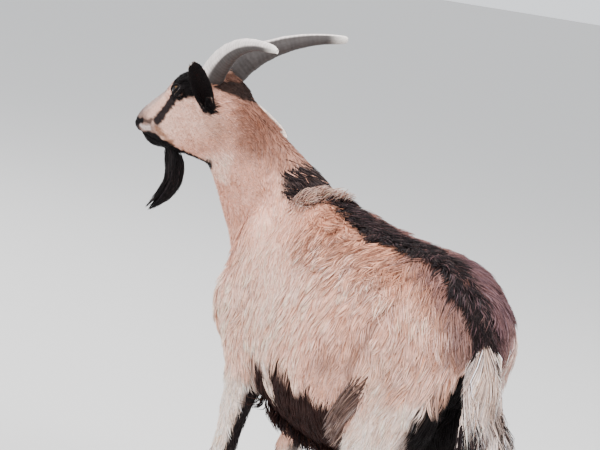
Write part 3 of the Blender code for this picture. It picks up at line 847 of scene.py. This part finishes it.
def nearest(points):
    """The nearest places on the skin, and the numbers of their triangles."""
    hits, index = np.empty((len(points), 3)), np.empty(len(points), int)
    for k, p in enumerate(points):
        found = tree.find_nearest(Vector(p))
        hits[k], index[k] = found[0], found[2]
    return hits, index


def tangent(ways, normals):
    return unit(ways - normals * np.sum(ways * normals, 1)[:, None])


def run_over(roots, normals, ways, lengths, stops):
    """Lines that start at the roots and run over the skin: points, normals, at each stop of 0 to 1."""
    lines, ups = [roots], [normals]
    place, up, way = roots, normals, tangent(ways, normals)
    for before, stop in zip(stops, stops[1:]):
        place, index = nearest(place + way * (lengths * (stop - before))[:, None])
        up = unit(0.35 * up + tri_normal[index])
        way = tangent(way, up)
        lines.append(place)
        ups.append(up)
    return np.array(lines), np.array(ups)


def directions(lines):
    return unit(np.gradient(lines, axis=0))


def blades(name, lines, ups, widths, colours, uv, order=None):
    """Closed three-sided tufts along lines (stops, tufts, 3), in pieces under the triangle limit."""
    stops, count = lines.shape[:2]
    order = np.arange(count) if order is None else order
    lines, ups, widths, colours = (each[:, order] for each in (lines, ups, widths, colours))
    uv = uv[order]
    along = directions(lines)
    sides = unit(np.cross(ups, along))
    rolls = rng.normal(0, 0.35, count)[None, :, None]
    lift = unit(np.cross(along, sides))
    sides, lift = sides * np.cos(rolls) + lift * np.sin(rolls), lift * np.cos(rolls) - sides * np.sin(rolls)
    aside, over = sides[:-1] * widths[:-1, :, None], lift[:-1] * widths[:-1, :, None]
    ring = np.stack([lines[:-1] + aside * a + over * b for a, b in BLADE_CORNERS], 2)
    per = 3 * (stops - 1) + 1
    points = np.empty((count, per, 3))
    points[:, :-1] = ring.transpose(1, 0, 2, 3).reshape(count, per - 1, 3)
    points[:, -1] = lines[-1]
    shade = np.empty((count, per, 3), np.float32)
    shade[:, :-1] = np.repeat(colours[:-1].transpose(1, 0, 2), 3, axis=1)
    shade[:, -1] = colours[-1]
    place = np.empty((per, 2))
    rings = [PATCH[1] * s / (stops - 1) for s in range(stops - 1)]
    place[:-1] = [((k - 1) * PATCH[0], high) for high in rings for k in range(3)]
    place[-1] = (0, PATCH[1])
    tris = [(0, 2, 1)]
    for s in range(stops - 2):
        for a in range(3):
            b = (a + 1) % 3
            low_a, low_b, high_a, high_b = 3 * s + a, 3 * s + b, 3 * s + 3 + a, 3 * s + 3 + b
            tris += [(low_a, low_b, high_b), (low_a, high_b, high_a)]
    tris = np.array(tris + [(per - 4 + a, per - 4 + (a + 1) % 3, per - 1) for a in range(3)])
    limit = PIECE_LIMIT // len(tris)
    parts = max(1, math.ceil(count / limit))
    made = []
    for part, members in enumerate(np.array_split(np.arange(count), parts)):
        m = len(members)
        corners = (np.arange(m)[:, None, None] * per + tris[None]).reshape(-1)
        data = bpy.data.meshes.new(name)
        data.vertices.add(m * per)
        data.loops.add(len(corners))
        data.polygons.add(len(corners) // 3)
        data.vertices.foreach_set("co", points[members].ravel())
        data.loops.foreach_set("vertex_index", corners)
        data.polygons.foreach_set("loop_start", np.arange(0, len(corners), 3))
        data.polygons.foreach_set("loop_total", np.full(len(corners) // 3, 3))
        data.update(calc_edges=True)
        shade_smooth(data)
        colour_points(data, "coat_colour", shade[members].reshape(-1, 3))
        layer = data.uv_layers.new(name="OFBake")
        where = (uv[members][:, None] + place[None]).reshape(-1, 2)[corners]
        layer.data.foreach_set("uv", where.ravel())
        obj = placed(name if parts == 1 else f"{name}_{part + 1}", data)
        obj.data.materials.append(hair_material)
        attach(obj, "root")
        made.append(obj)
    print(name, count, "tufts", count * len(tris), "triangles")
    return made


def taper(stops, widths):
    return np.interp(stops, TAPER_MARKS, TAPER)[:, None] * widths[None]


def tinted(base, stops, vary, groups):
    """Colours along tufts: darkened at the root as painted shade among the hairs, paler at the tip, each tuft
    and lock a little different.
    """
    count = len(base)
    own = np.exp(rng.normal(0, vary, count))
    own *= np.exp(np.clip(rng.normal(0, vary * 1.9, groups.max() + 1), -0.4, 0.1))[groups]
    warm = rng.normal(0, 0.05, count)
    tone = np.stack([1 + warm, 1 + 0 * warm, 1 - warm], 1)
    # painted shade: darker and browner towards the root
    ladder = np.interp(stops, (0, 0.45, 1), (0.66, 0.97, 1.08))[:, None] ** BROWNING
    return np.clip(ladder[:, None] * (base * tone * own[:, None] ** BROWNING)[None], 0, 0.95)


def gathered(lines, groups, guide_lines, guide_roots, stops, share):
    """Draws tufts towards the line of their lock, more and more towards the tips."""
    stops = np.array(stops)
    offset = (lines[0] - guide_roots[groups])[None] * (1 - 0.72 * stops)[:, None, None]
    drawn = guide_lines[:, groups] + offset
    return lines + (drawn - lines) * ((stops**0.9)[:, None, None] * share[None, :, None])


def waved(lines, ups, stops, amounts, phases, turns):
    sides = unit(np.cross(ups, directions(lines)))
    t = np.array(stops)[:, None]
    turn = 2 * np.pi * turns[None] * t + phases[None]
    swing = np.sin(turn) * t**0.8 * amounts[None]
    rise = np.cos(turn) * t**0.8 * amounts[None] * 0.25
    return lines + sides * swing[..., None] + ups * rise[..., None]


def per_tuft(count):
    return count


def grow(
    name, weights, count, stops, slot, colour=colours_at, fields=values, way_field=ways_field,
    lock=13, vary=0.07, bend=0.14,
):
    """A coat of tufts over the skin where weights say, in locks of about lock tufts each."""
    count = per_tuft(count)

    def roots_for(number):
        chosen, shares = scatter(number, weights)
        roots = at_roots(skin_points, chosen, shares)
        normals = unit(at_roots(skin_normals, chosen, shares))
        spec, ways = at_roots(fields, chosen, shares), at_roots(way_field, chosen, shares)
        g = to_goat(roots)
        swirl = bend * 1.4 * noise(g, 0.1, 21) + bend * 0.8 * noise(g, 0.035, 22)
        swirl = swirl + rng.normal(0, bend, number)
        ways = tangent(ways, normals)
        ways = ways * np.cos(swirl)[:, None] + np.cross(normals, ways) * np.sin(swirl)[:, None]
        return chosen, shares, roots, normals, spec, ways

    def lay(roots, normals, spec, ways, lengths, lift):
        lines, ups = run_over(roots, normals, ways, lengths, stops)
        left = 1 - np.array(stops)
        rise = (1 - left**1.7)[:, None] * (spec[:, HEIGHT] * lift)[None] - 0.001 * left[:, None]
        return lines + ups * rise[..., None], ups

    guide_count = max(8, count // lock)
    _, _, guide_roots, guide_normals, guide_spec, guide_ways = roots_for(guide_count)
    lift = np.clip(rng.normal(0.95, 0.16, guide_count), 0.55, 1.35)
    guide_long = guide_spec[:, LENGTH] * rng.uniform(0.85, 1.2, guide_count)
    guide_lines, guide_ups = lay(guide_roots, guide_normals, guide_spec, guide_ways, guide_long, lift)
    phases, turns = rng.uniform(0, 6.28, guide_count), rng.uniform(0.5, 1.1, guide_count)
    amounts = guide_spec[:, WAVE] * rng.uniform(0.5, 1.5, guide_count)
    guide_lines = waved(guide_lines, guide_ups, stops, amounts, phases, turns)

    chosen, shares, roots, normals, spec, ways = roots_for(count)
    finder = KDTree(guide_count)
    for k, p in enumerate(guide_roots):
        finder.insert(Vector(p), k)
    finder.balance()
    groups = np.array([finder.find(Vector(p))[1] for p in roots])
    lengths = spec[:, LENGTH] * rng.uniform(0.7, 1.1, count)
    heights = np.clip(rng.normal(0.88, 0.2, count), 0.35, 1.3)
    lines, ups = lay(roots, normals, spec, ways, lengths, heights)
    own_phases = phases[groups] + rng.normal(0, 0.5, count)
    lines = waved(lines, ups, stops, spec[:, WAVE] * 0.6, own_phases, turns[groups])
    drawn = spec[:, GATHER] * rng.uniform(0.6, 1.1, count).clip(0, 1)
    lines = gathered(lines, groups, guide_lines, guide_roots, stops, drawn)
    colours = tinted(colour(roots, normals), stops, vary, groups)
    widths = taper(stops, spec[:, WIDTH] * rng.uniform(0.65, 1.25, count))
    uv = np.einsum("nk,nkj->nj", shares, loop_uv[tri_loops[chosen]])
    order = np.argsort(np.round(to_goat(roots)[:, 1] / SLICE) * 10 + roots[:, 2])
    return blades(name, lines, ups, widths, colours, uv, order)


# ---------------------------------------------------------------- materials


def principled(name, roughness, specular):
    made = bpy.data.materials.new(name)
    made.use_nodes = True
    shader = made.node_tree.nodes["Principled BSDF"]
    shader.inputs["Roughness"].default_value = roughness
    shader.inputs["Specular IOR Level"].default_value = specular
    return made, made.node_tree, shader


def added(nodes, kind, **inputs):
    """A new shader node with some inputs set; an underscore stands for a space in their names."""
    node = nodes.nodes.new("ShaderNode" + kind)
    for name, value in inputs.items():
        node.inputs[name.replace("_", " ")].default_value = value
    return node


def attribute_coloured(name, roughness, specular, noise_scale, low, high, bump=0.0, bump_scale=900.0):
    """Colour from the mesh's own markings, made uneven by a fine noise."""
    made, nodes, shader = principled(name, roughness, specular)
    join = nodes.links.new
    colour, where = added(nodes, "Attribute"), added(nodes, "TexCoord")
    colour.attribute_name = "coat_colour"
    grain = added(nodes, "TexNoise", Scale=noise_scale, Detail=3)
    ranged = added(nodes, "MapRange", From_Min=0.3, From_Max=0.7, To_Min=low, To_Max=high)
    times = added(nodes, "VectorMath")
    times.operation = "SCALE"
    join(where.outputs["Object"], grain.inputs["Vector"])
    join(grain.outputs["Fac"], ranged.inputs["Value"])
    join(colour.outputs["Color"], times.inputs[0])
    join(ranged.outputs["Result"], times.inputs["Scale"])
    join(times.outputs["Vector"], shader.inputs["Base Color"])
    if bump:
        rough = added(nodes, "TexNoise", Scale=bump_scale, Detail=2)
        raised = added(nodes, "Bump", Strength=bump, Distance=0.001)
        join(where.outputs["Object"], rough.inputs["Vector"])
        join(rough.outputs["Fac"], raised.inputs["Height"])
        join(raised.outputs["Normal"], shader.inputs["Normal"])
    return made


hair_material = attribute_coloured("hair", 0.64, 0.13, 140.0, 0.86, 1.12)
skin_material = attribute_coloured("skin", 0.75, 0.12, 260.0, 0.8, 1.12, bump=0.35)
skin.data.materials.append(skin_material)
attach(skin, "root")
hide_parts(*FLESH, "ear_left", "ear_right")

# ---------------------------------------------------------------- the coat

tri_centre = corner.mean(1)
tri_goat, tri_head = to_goat(tri_centre), to_head(tri_centre)
density = values[tri_verts].mean(1)[:, DENSITY]
tx, ty, tz = tri_goat.T
on_face = (tz > 0.74) & (tri_head[:, 1] < 0.012)
on_dock = (np.abs(tx) < 0.03) & (ty > 0.372) & (tz < 0.66)
open_eye = np.zeros(tri_count, bool)
for side in (1, -1):
    out, fore, up = eye_axes(side)
    rel = tri_head - both(EYE_AT, side)
    open_eye |= (np.hypot(rel @ fore / BARE_EYE[0], rel @ up / BARE_EYE[1]) < 1) & (rel @ out > 0)
lower_leg = on_body & (tz < LONG_HAIR_START)
body_area = tri_area * density * on_body * ~open_eye * ~on_dock * (tz > HAIR_START)
muzzle_tip = ramp(tri_head[:, 1], -0.222, -0.212)

short = body_area * (on_face | lower_leg) * np.where(on_face, muzzle_tip, 1)
long = body_area * ~(on_face | lower_leg)
STOPS_SHORT, STOPS, STOPS_LONG = (0, 0.5, 1), (0, 0.36, 0.72, 1), (0, 0.2, 0.42, 0.64, 0.84, 1)
grow("coat_short", short, int(short.sum()), STOPS_SHORT, "coat", lock=7, vary=0.05, bend=0.1)
grow("coat_body", long, int(long.sum()), STOPS, "coat")


def own_field(length, width, height, gather, wave):
    """The same tuft values everywhere, for a special growth of hair."""
    return np.tile(np.array([length, width, height, 0, gather, wave]), (len(skin_points), 1))


def grow_own(name, weights, count, slot, colour, sizes, way, **style):
    """A growth of long hair on the body with sizes as in own_field and a way of its own."""
    way = unit(np.broadcast_to(np.asarray(way, float), skin_points.shape))
    grow(name, tri_area * on_body * weights, count, STOPS_LONG, slot, colour, own_field(*sizes), way, **style)


def toned(base, share, other, rare=2.0, third=BLACK):
    """A colour function: the base, a share of tufts in another colour, those past rare in a third."""

    def colours(roots, _):
        c = np.tile(base, (len(roots), 1))
        odd = rng.random(len(roots))
        c[odd < share] = other
        c[odd > rare] = third
        return c

    return colours


px, py, _ = to_goat(skin_points).T
off_line = np.abs(tx - back_middle(ty))

# dark hair along the back, leaning back and falling a little to either side
where = ramp(off_line / back_half(ty), 0.95, 0.45) * ramp(ty, -0.235, -0.205) * (tz > 0.6)
where = where * ramp(ty, 0.366, 0.345) * ramp(tri_normal[:, 2], -0.2, 0.2)
way = np.stack([np.sign(px - back_middle(py)) * 0.18, 0.85 + 0 * px, -0.25 - 0.6 * ramp(py, 0.2, 0.34)], 1)
colour, sizes = toned(BLACK, 0.14, RUSSET * 0.7, 0.9, GREY), (0.046, 0.0022, 0.0105, 0.6, 0.0045)
grow_own("coat_ridge", where, 4600, "dark_coat", colour, sizes, way, lock=14, bend=0.3)

# longer russet hair on the rump to either side of the dark line
where = within(off_line, 0.014, 0.024, 0.065, 0.095)
where = where * ramp(ty, 0.1, 0.2) * ramp(tz, 0.6, 0.64) * np.where(tx < 0, 1.0, 0.45)
way = np.stack([np.sign(px) * 0.35, 0.55 + 0 * px, -0.75 + 0 * px], 1)
sizes = (0.05, 0.0022, 0.01, 0.6, 0.003)
grow_own("coat_rump", where, 2300, "coat", colours_at, sizes, way, lock=14, vary=0.13)

# dark mane low on the nape, and pale wisps where it meets the withers
where, way = mane_share(tri_goat, tri_normal), (-0.5, 0.55, -0.6)
colour, sizes = toned(GREY, 0.6, BLACK, 0.98, NECK_TAN), (0.04, 0.0021, 0.0085, 0.6, 0.003)
grow_own("coat_mane", where, 2000, "dark_coat", colour, sizes, way, lock=14, bend=0.22)
where = within(ty, -0.24, -0.215, -0.185, -0.16) * ramp(tx, 0.075, 0.055)
where = where * ramp(tri_normal[:, 2], 0.3, 0.6) * ramp(tx, -0.045, -0.02)
colour = toned(linear(222, 188, 172), 0.35, linear(176, 138, 124), 0.8, PALE_TAN)
way, sizes = (-0.15, 0.8, 0.1), (0.032, 0.0019, 0.023, 0.6, 0.003)
grow_own("coat_wisps", where, 340, "coat", colour, sizes, way, lock=10, bend=0.25)

# pale tuft behind each elbow
where = ramp(np.abs(tx), 0.045, 0.07) * (np.abs(tx) < 0.13) * spot((ty, -0.116, 0.016), (tz, 0.446, 0.024))
colour, sizes = toned(CREAM, 0.7, PALE_TAN * 0.9), (0.06, 0.002, 0.008, 0.8, 0.002)
grow_own("coat_elbows", where, 480, "pale_coat", colour, sizes, (0.0, 0.75, -0.62), lock=40, bend=0.1)

# grey-brown fold of long hair hanging from the flank before the stifle
where = ramp(np.abs(tx), 0.05, 0.08) * spot((ty - 0.45 * (tz - 0.45), 0.16, 0.01), (tz, 0.456, 0.032))
colour = toned(linear(122, 98, 90), 0.35, linear(84, 64, 58), 0.85, linear(164, 138, 126))
sizes = (0.08, 0.0022, 0.011, 0.7, 0.0026)
grow_own("coat_folds", where, 1300, "coat", colour, sizes, (0.0, -0.62, -0.8), lock=26, bend=0.06)

# long dark hair hanging under the brisket and the belly
where = ramp(-tri_normal[:, 2], 0.35, 0.7) * (tz > 0.29) * ramp(tz, 0.42, 0.38)
where = where * within(ty, -0.2, -0.15, -0.02, 0.06) * (np.abs(tx) < 0.075)
colour = toned(DARK_BROWN, 0.25, BLACK, 0.9, linear(112, 76, 64))
sizes = (0.05, 0.0025, 0.03, 0.7, 0.0035)
grow_own("coat_belly", where, 1800, "dark_coat", colour, sizes, (0.0, 1.0, -0.3), lock=12, bend=0.35)

# long pale hair hanging beside the tail on the right of the rump
where, way = spot((tx, -0.062, 0.016), (ty, 0.325, 0.02), (tz, 0.6, 0.045)), (-0.25, 0.3, -0.92)
colour, sizes = toned(linear(206, 166, 154), 0.4, CREAM * 0.9), (0.062, 0.0021, 0.015, 0.6, 0.004)
grow_own("coat_rump_side", where, 420, "coat", colour, sizes, way, lock=16, bend=0.25)


# curls on the upper side below the dark line
def curl_colour(roots, normals):
    c = colours_at(roots, normals)
    return mix(c, NAPE, 0.75 * (rng.random(len(roots)) < 0.45))


where = within(ty, -0.17, -0.08, 0.12, 0.2) * ramp(tz, 0.635, 0.665)
where, sizes = where * ramp(off_line - back_half(ty), 0.0, 0.01), (0.036, 0.0022, 0.0105, 0.92, 0.0062)
grow_own("coat_curls", where, 2800, "coat", curl_colour, sizes, ways_field, lock=22, vary=0.13, bend=0.35)

# ---------------------------------------------------------------- ears

leaf_field = own_field(0.0065, 0.0013, 0.0011, 0.3, 0.0003)
for piece, (side, word) in enumerate(SIDES, 1):
    way, _, sidewise = (HEAD_TURN @ axis for axis in ear_axes(side))
    across, along = ear_places(skin_points, side)[1], ear_places(tri_centre, side)[0]
    out_way = unit(way[None] + 0.35 * np.sign(across)[:, None] * sidewise[None])

    def ear_colour(roots, normals, side=side):
        return ear_colours(roots, normals, side)

    leaf = tri_area * (tri_piece == piece) * (along > -0.05) * ramp(along, 1.0, 0.93)
    style = {"lock": 7, "vary": 0.04, "bend": 0.12}
    grow(f"coat_ear_{word}", leaf, 2600, STOPS_SHORT, "coat", ear_colour, leaf_field, out_way, **style)

# ---------------------------------------------------------------- beard and tail


def bundle(name, rows, place, count, locks, start, reach, width, colour, slot, wave, core=0.0, tight=0.25):
    """Hair that runs along a path and fills its width: start and reach are ranges along the path."""
    count = per_tuft(count)
    path = smooth_rows(rows, 12)
    marks = np.linspace(0, 1, len(path))
    lock = rng.integers(0, locks, count)
    angle = rng.uniform(0, 2 * np.pi, locks)[lock] + rng.normal(0, 0.16, count)
    radius = np.sqrt(rng.uniform(0.08, 1, locks))[lock] * rng.uniform(0.86, 1.02, count)
    begin = rng.uniform(*start, locks)[lock] + rng.normal(0, 0.03, count)
    finish = np.clip(begin + rng.uniform(*reach, locks)[lock] + rng.normal(0, 0.05, count), None, 1.0)
    begin = np.clip(begin, 0, finish - 0.12)
    lines, ups = [], []
    phase, turns = rng.uniform(0, 6.28, locks)[lock], rng.uniform(0.5, 1.3, locks)[lock]
    ways = directions(path[:, None, :3])[:, 0]
    for stop in STOPS_LONG:
        at = begin + (finish - begin) * stop
        centre = np.stack([np.interp(at, marks, path[:, k]) for k in range(3)], 1)
        way = unit(np.stack([np.interp(at, marks, ways[:, k]) for k in range(3)], 1))
        depth, wide = np.interp(at, marks, path[:, 3]), np.interp(at, marks, path[:, 4])
        side = unit(SIDEWAYS - way * way[:, :1])
        fore = np.cross(way, side)
        grown = radius * (core + (1 - core) * ramp(np.full(count, stop), -0.1, 0.55))
        out = side * (np.sin(angle) * wide)[:, None] + fore * (np.cos(angle) * depth)[:, None]
        swing = (np.sin(2 * np.pi * turns * stop + phase) * wave * stop)[:, None]
        shrink = (grown * (1 - tight * stop))[:, None]
        lines.append(centre + out * shrink + side * swing + fore * 0.5 * swing)
        ups.append(unit(out))
    lines, ups = np.array(lines), np.array(ups)
    middle = len(STOPS_LONG) // 2
    colours = tinted(colour(lines[middle], ups[middle]), STOPS_LONG, 0.14, lock)
    widths = taper(STOPS_LONG, width * rng.uniform(0.7, 1.25, count))
    world = place(lines.reshape(-1, 3)).reshape(lines.shape)
    turn = place(ups.reshape(-1, 3)) - place(np.zeros((1, 3)))
    uv = loop_uv[tri_loops[nearest(world[0])[1], 0]]
    return blades(name, world, unit(turn.reshape(ups.shape)), widths, colours, uv)


def tail_colour(points, _):
    x, z, count = points[:, 0] - 0.012, points[:, 2], len(points)
    c = np.tile(linear(236, 215, 205), (count, 1))
    odd, low = rng.random(count), ramp(z, 0.56, 0.49)
    aside = ramp(np.abs(x), 0.012, 0.04)
    c[odd < 0.35 + 0.15 * low] = linear(188, 164, 154)
    dark = 0.3 * (1 - low) * ramp(z, 0.56, 0.59) + (0.22 + 0.4 * aside) * low
    c[odd < dark] = linear(92, 74, 70)
    c[odd < (0.12 + 0.35 * aside) * low] = linear(44, 34, 35)
    inner = ramp(x, 0.012, 0.03) * ramp(z, 0.53, 0.475)
    c[rng.random(count) < 0.88 * inner] = BLACK
    return c


colour, span = toned(SOOT, 0.18, BLACK * 1.3), ((0.0, 0.4), (0.42, 0.75))
beard = bundle("beard_locks", BEARD, from_head, 2600, 60, *span, 0.0023, colour, "dark_coat", 0.004)
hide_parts("beard")
span, style = ((0.0, 0.55), (0.34, 0.65)), (0.011, 0.3, -0.05)
tail = bundle("tail_locks", TAIL, from_goat, 3800, 80, *span, 0.0024, tail_colour, "pale_coat", *style)
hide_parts("tail")

# ---------------------------------------------------------------- horns


def horn_rows(side):
    """The horn's rows on this side, straying towards its own tip over the outer half."""
    made = np.array(HORN)
    made[:, 0] *= side
    half = (len(HORN) - 1) // 2
    share = np.clip((np.arange(len(HORN)) - half) / half, 0, None) ** 2
    made[:, :3] += share[:, None] * np.array(HORN_STRAY[side])
    return made


def horn(side, word):
    """Flattened, ringed horn: pale above and outside where it faces the light, with painted shade behind and
    within, and dark at the root.
    """
    rows = smooth_rows(horn_rows(side), 18)
    steps = np.linalg.norm(np.diff(rows[:, :3], axis=0), axis=1)
    length = np.concatenate([[0], np.cumsum(steps)])
    around = 48
    verts, faces = swept(rows, SIDEWAYS, around)
    angle = np.tile(2 * np.pi * np.arange(around) / around, len(rows))
    centre, place = np.repeat(rows[:, :3], around, axis=0), np.repeat(length, around)
    front, outer, left = np.cos(angle), np.sin(angle), length[-1] - place
    wander = 0.0016 * noise(verts, 0.03, 41)
    ring = 0.5 + 0.5 * np.cos(2 * np.pi * (place + wander) / 0.0085)
    swell = 0.5 + 0.5 * np.cos(2 * np.pi * (place + 2 * wander) / 0.034 + 0.8)
    keel = 0.06 * spot((angle, np.pi, 0.35))
    scale = 1 + ramp(left, 0.02, 0.12) * (0.02 * ring**2 + 0.035 * swell**3 - 0.035 + keel)
    verts = centre + (verts - centre) * scale[:, None]
    obj = mesh_object(f"horn_sheath_{word}", from_head(verts), faces)
    shade_smooth(obj.data)
    streak = noise(np.stack([front * 3, outer * 3, place * 4], 1), 1.1, 43)
    c, lay = painter(linear(236, 226, 222), len(verts))
    lay(linear(168, 152, 144), 0.34 * ring + 0.25 * (0.5 + 0.5 * streak))
    # painted shade: the horn darkens where it faces away from the light, below and within; the far horn,
    # turned away from the light, is shaded further round
    lit_side = 0.3 * side * outer - 0.95 * front
    shade_start = 0.44 if side == 1 else 0.76
    lay(linear(26, 18, 17), 0.95 * ramp(lit_side + 0.08 * streak, shade_start, shade_start - 0.34))
    lay(linear(66, 50, 46), 0.7 * ramp(place, 0.05, 0.02))
    lay(linear(238, 230, 222), 0.7 * ramp(left, 0.04, 0.0))
    colour_points(obj.data, "coat_colour", c * (0.92 + 0.12 * swell)[:, None])
    obj.data.materials.append(horn_material)
    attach(obj, "root")
    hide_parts(f"horn_{word}")


horn_material = attribute_coloured("horn", 0.52, 0.28, 220.0, 0.85, 1.1, bump=0.25, bump_scale=500.0)
for side, word in SIDES:
    horn(side, word)

# ---------------------------------------------------------------- eyes


def eye_stuff():
    """Amber iris with a wide level pupil, set in a dark ball; read from the ball's own directions."""
    made, nodes, shader = principled("eye", 0.24, 0.12)
    join = nodes.links.new

    def feed(sockets, values):
        for socket, value in zip(sockets, values):
            if isinstance(value, (int, float, tuple)):
                socket.default_value = value
            else:
                join(value, socket)

    def step(value, start, end):
        ranged = added(nodes, "MapRange", From_Min=start, From_Max=end)
        ranged.interpolation_type = "SMOOTHSTEP"
        join(value, ranged.inputs["Value"])
        return ranged.outputs["Result"]

    def blend(low, high, factor):
        mixed = added(nodes, "Mix")
        mixed.data_type = "RGBA"
        feed((mixed.inputs[6], mixed.inputs[7], mixed.inputs[0]), (low, high, factor))
        return mixed.outputs[2]

    def maths(kind, a, b):
        node = added(nodes, "Math")
        node.operation = kind
        feed(node.inputs, (a, b))
        return node.outputs[0]

    def raised(value, half, power):
        return maths("POWER", maths("ABSOLUTE", maths("DIVIDE", value, half), 0), power)

    place, parts = added(nodes, "Attribute"), added(nodes, "SeparateXYZ")
    place.attribute_name = "eye_place"
    join(place.outputs["Vector"], parts.inputs["Vector"])
    level, upright = parts.outputs["X"], parts.outputs["Y"]
    pupil = step(maths("ADD", raised(level, 0.42, 3.0), raised(upright, 0.17, 2.6)), 1.12, 0.88)
    squares = maths("ADD", maths("POWER", level, 2.0), maths("POWER", upright, 2.0))
    reach = maths("SQRT", squares, 0)
    rays = added(nodes, "TexNoise", Scale=9.0)
    join(place.outputs["Vector"], rays.inputs["Vector"])
    streaks = step(rays.outputs["Fac"], 0.35, 0.65)
    amber = blend((0.06, 0.03, 0.01, 1), (0.13, 0.066, 0.02, 1), streaks)
    amber = blend(amber, (0.03, 0.016, 0.008, 1), step(reach, 0.55, 0.68))
    ball = blend(amber, (0.016, 0.01, 0.009, 1), step(reach, 0.66, 0.74))
    join(blend(ball, (0.004, 0.004, 0.005, 1), pupil), shader.inputs["Base Color"])
    shader.inputs["Coat Weight"].default_value = 0.5
    shader.inputs["Coat Roughness"].default_value = 0.02
    return made


eye_material = eye_stuff()
for side, word in SIDES:
    out, fore, up = eye_axes(side)
    data = bpy.data.meshes.new(f"eyeball_{word}")
    with editing(data) as bm:
        bmesh.ops.create_uvsphere(bm, u_segments=64, v_segments=40, radius=1)
    local = coords(data)
    bulge = 1 + 0.035 * ramp(local[:, 2], 0.7, 0.95)
    ball = (local @ np.array([fore, up, out])) * bulge[:, None] * EYE_RADIUS
    set_coords(data, from_head(both(EYE_AT, side) + ball))
    directions_layer = data.attributes.new("eye_place", "FLOAT_VECTOR", "POINT")
    directions_layer.data.foreach_set("vector", local.astype(np.float32).ravel())
    if np.linalg.det(np.array([fore, up, out])) < 0:
        data.flip_normals()
    obj = placed(f"eyeball_{word}", data)
    shade_smooth(data)
    data.materials.append(eye_material)
    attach(obj, "root")
    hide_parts(f"eye_{word}")

# ---------------------------------------------------------------- claws

claw_material = attribute_coloured("claw", 0.48, 0.4, 180.0, 0.75, 1.15, bump=0.3, bump_scale=350.0)
for name in [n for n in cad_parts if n.startswith("claw_")]:
    obj = placed(name.replace("claw", "hoof"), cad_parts[name].data.copy())
    with editing(obj.data) as bm:
        bmesh.ops.remove_doubles(bm, verts=bm.verts, dist=WELD)
        bmesh.ops.dissolve_limit(bm, angle_limit=0.05, verts=bm.verts, edges=bm.edges)
    edge = obj.modifiers.new("edge", "BEVEL")
    edge.width, edge.segments, edge.limit_method = 0.0022, 3, "ANGLE"
    apply_all(obj)
    with editing(obj.data) as bm:
        bmesh.ops.triangulate(bm, faces=bm.faces)
        bmesh.ops.subdivide_edges(bm, edges=[e for e in bm.edges if e.calc_length() > 0.006], cuts=3)
        bmesh.ops.triangulate(bm, faces=bm.faces)
    p = coords(obj.data)
    wall = ramp(p[:, 2], 0.001, 0.006)
    growth = 0.00035 * np.sin(2 * np.pi * (p[:, 2] + 0.0015 * noise(p, 0.02, 51)) / 0.0055)
    set_coords(obj.data, p + normals_of(obj.data) * (growth * wall)[:, None])
    c, lay = painter(linear(58, 48, 42), len(p))
    lay(linear(98, 84, 72), ramp(noise(p, 0.012, 52), 0.1, 0.9) * 0.6)
    lay(linear(120, 106, 92), 0.5 * ramp(p[:, 2], 0.008, 0.001))
    colour_points(obj.data, "coat_colour", c)
    shade_smooth(obj.data)
    obj.data.materials.append(claw_material)
    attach(obj, "root")
    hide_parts(name)

# ---------------------------------------------------------------- floor, light, camera

floor_stuff, _, shader = principled("floor", 0.8, 0.3)
shader.inputs["Base Color"].default_value = (0.62, 0.61, 0.6, 1)
FLOOR_REACH, FLOOR_DROP = 14, 0.0006  # half its side, and how far it lies under the soles
corners = ((-1, -1), (1, -1), (1, 1), (-1, 1))
corners = [(x * FLOOR_REACH, y * FLOOR_REACH, -FLOOR_DROP) for x, y in corners]
floor = mesh_object("floor", corners, [(0, 1, 2, 3)])
floor.data.materials.append(floor_stuff)


LAMP_SIZE, LAMP_AIM = 3.0, Vector((0, 0, 0.6))


def area_light(name, at, power, colour=(1, 1, 1)):
    data = bpy.data.lights.new(name, "AREA")
    data.shape, data.size, data.energy, data.color = "DISK", LAMP_SIZE, power, colour
    lamp = placed(name, data)
    lamp.location = at
    lamp.rotation_euler = (LAMP_AIM - Vector(at)).to_track_quat("-Z", "Y").to_euler()


area_light("key", (-0.8, 1.0, 3.8), 265, (1.0, 0.99, 0.98))
area_light("fill", (3.2, 2.2, 2.2), 140, (0.98, 0.99, 1.0))
area_light("front", (1.0, -3.2, 2.4), 100)

world = bpy.data.worlds.new("studio")
world.use_nodes = True
world.node_tree.nodes["Background"].inputs["Color"].default_value = (0.93, 0.96, 1.0, 1)
world.node_tree.nodes["Background"].inputs["Strength"].default_value = 1.38
bpy.context.scene.world = world

# The photograph's viewpoint: where the camera stands round the goat, how high it looks from, how it
# leans, how far off it is, and what point of the goat is in the middle of the frame
AZIMUTH, ELEVATION, LEAN = (math.radians(degrees) for degrees in (145.77, 10.0, 11.85))
DISTANCE, LENS = 3.509, 135.96
LOOK_AT = np.array([0.38784, 0.29864, 0.78478])

flat = math.cos(ELEVATION)
back = Vector((math.sin(AZIMUTH) * flat, -math.cos(AZIMUTH) * flat, math.sin(ELEVATION)))
level = (-back).cross(Vector((0, 0, 1))).normalized()
upright = level.cross(-back)
right = level * math.cos(LEAN) + upright * math.sin(LEAN)
above = upright * math.cos(LEAN) - level * math.sin(LEAN)
view = bpy.data.cameras.new("camera")
view.sensor_width, view.lens = 36, LENS
camera = placed("camera", view)
stand = Matrix((right, above, back)).transposed().to_4x4()
stand.translation = Vector(LOOK_AT + SHIFT) + back * DISTANCE
camera.matrix_world = stand
bpy.context.scene.camera = camera
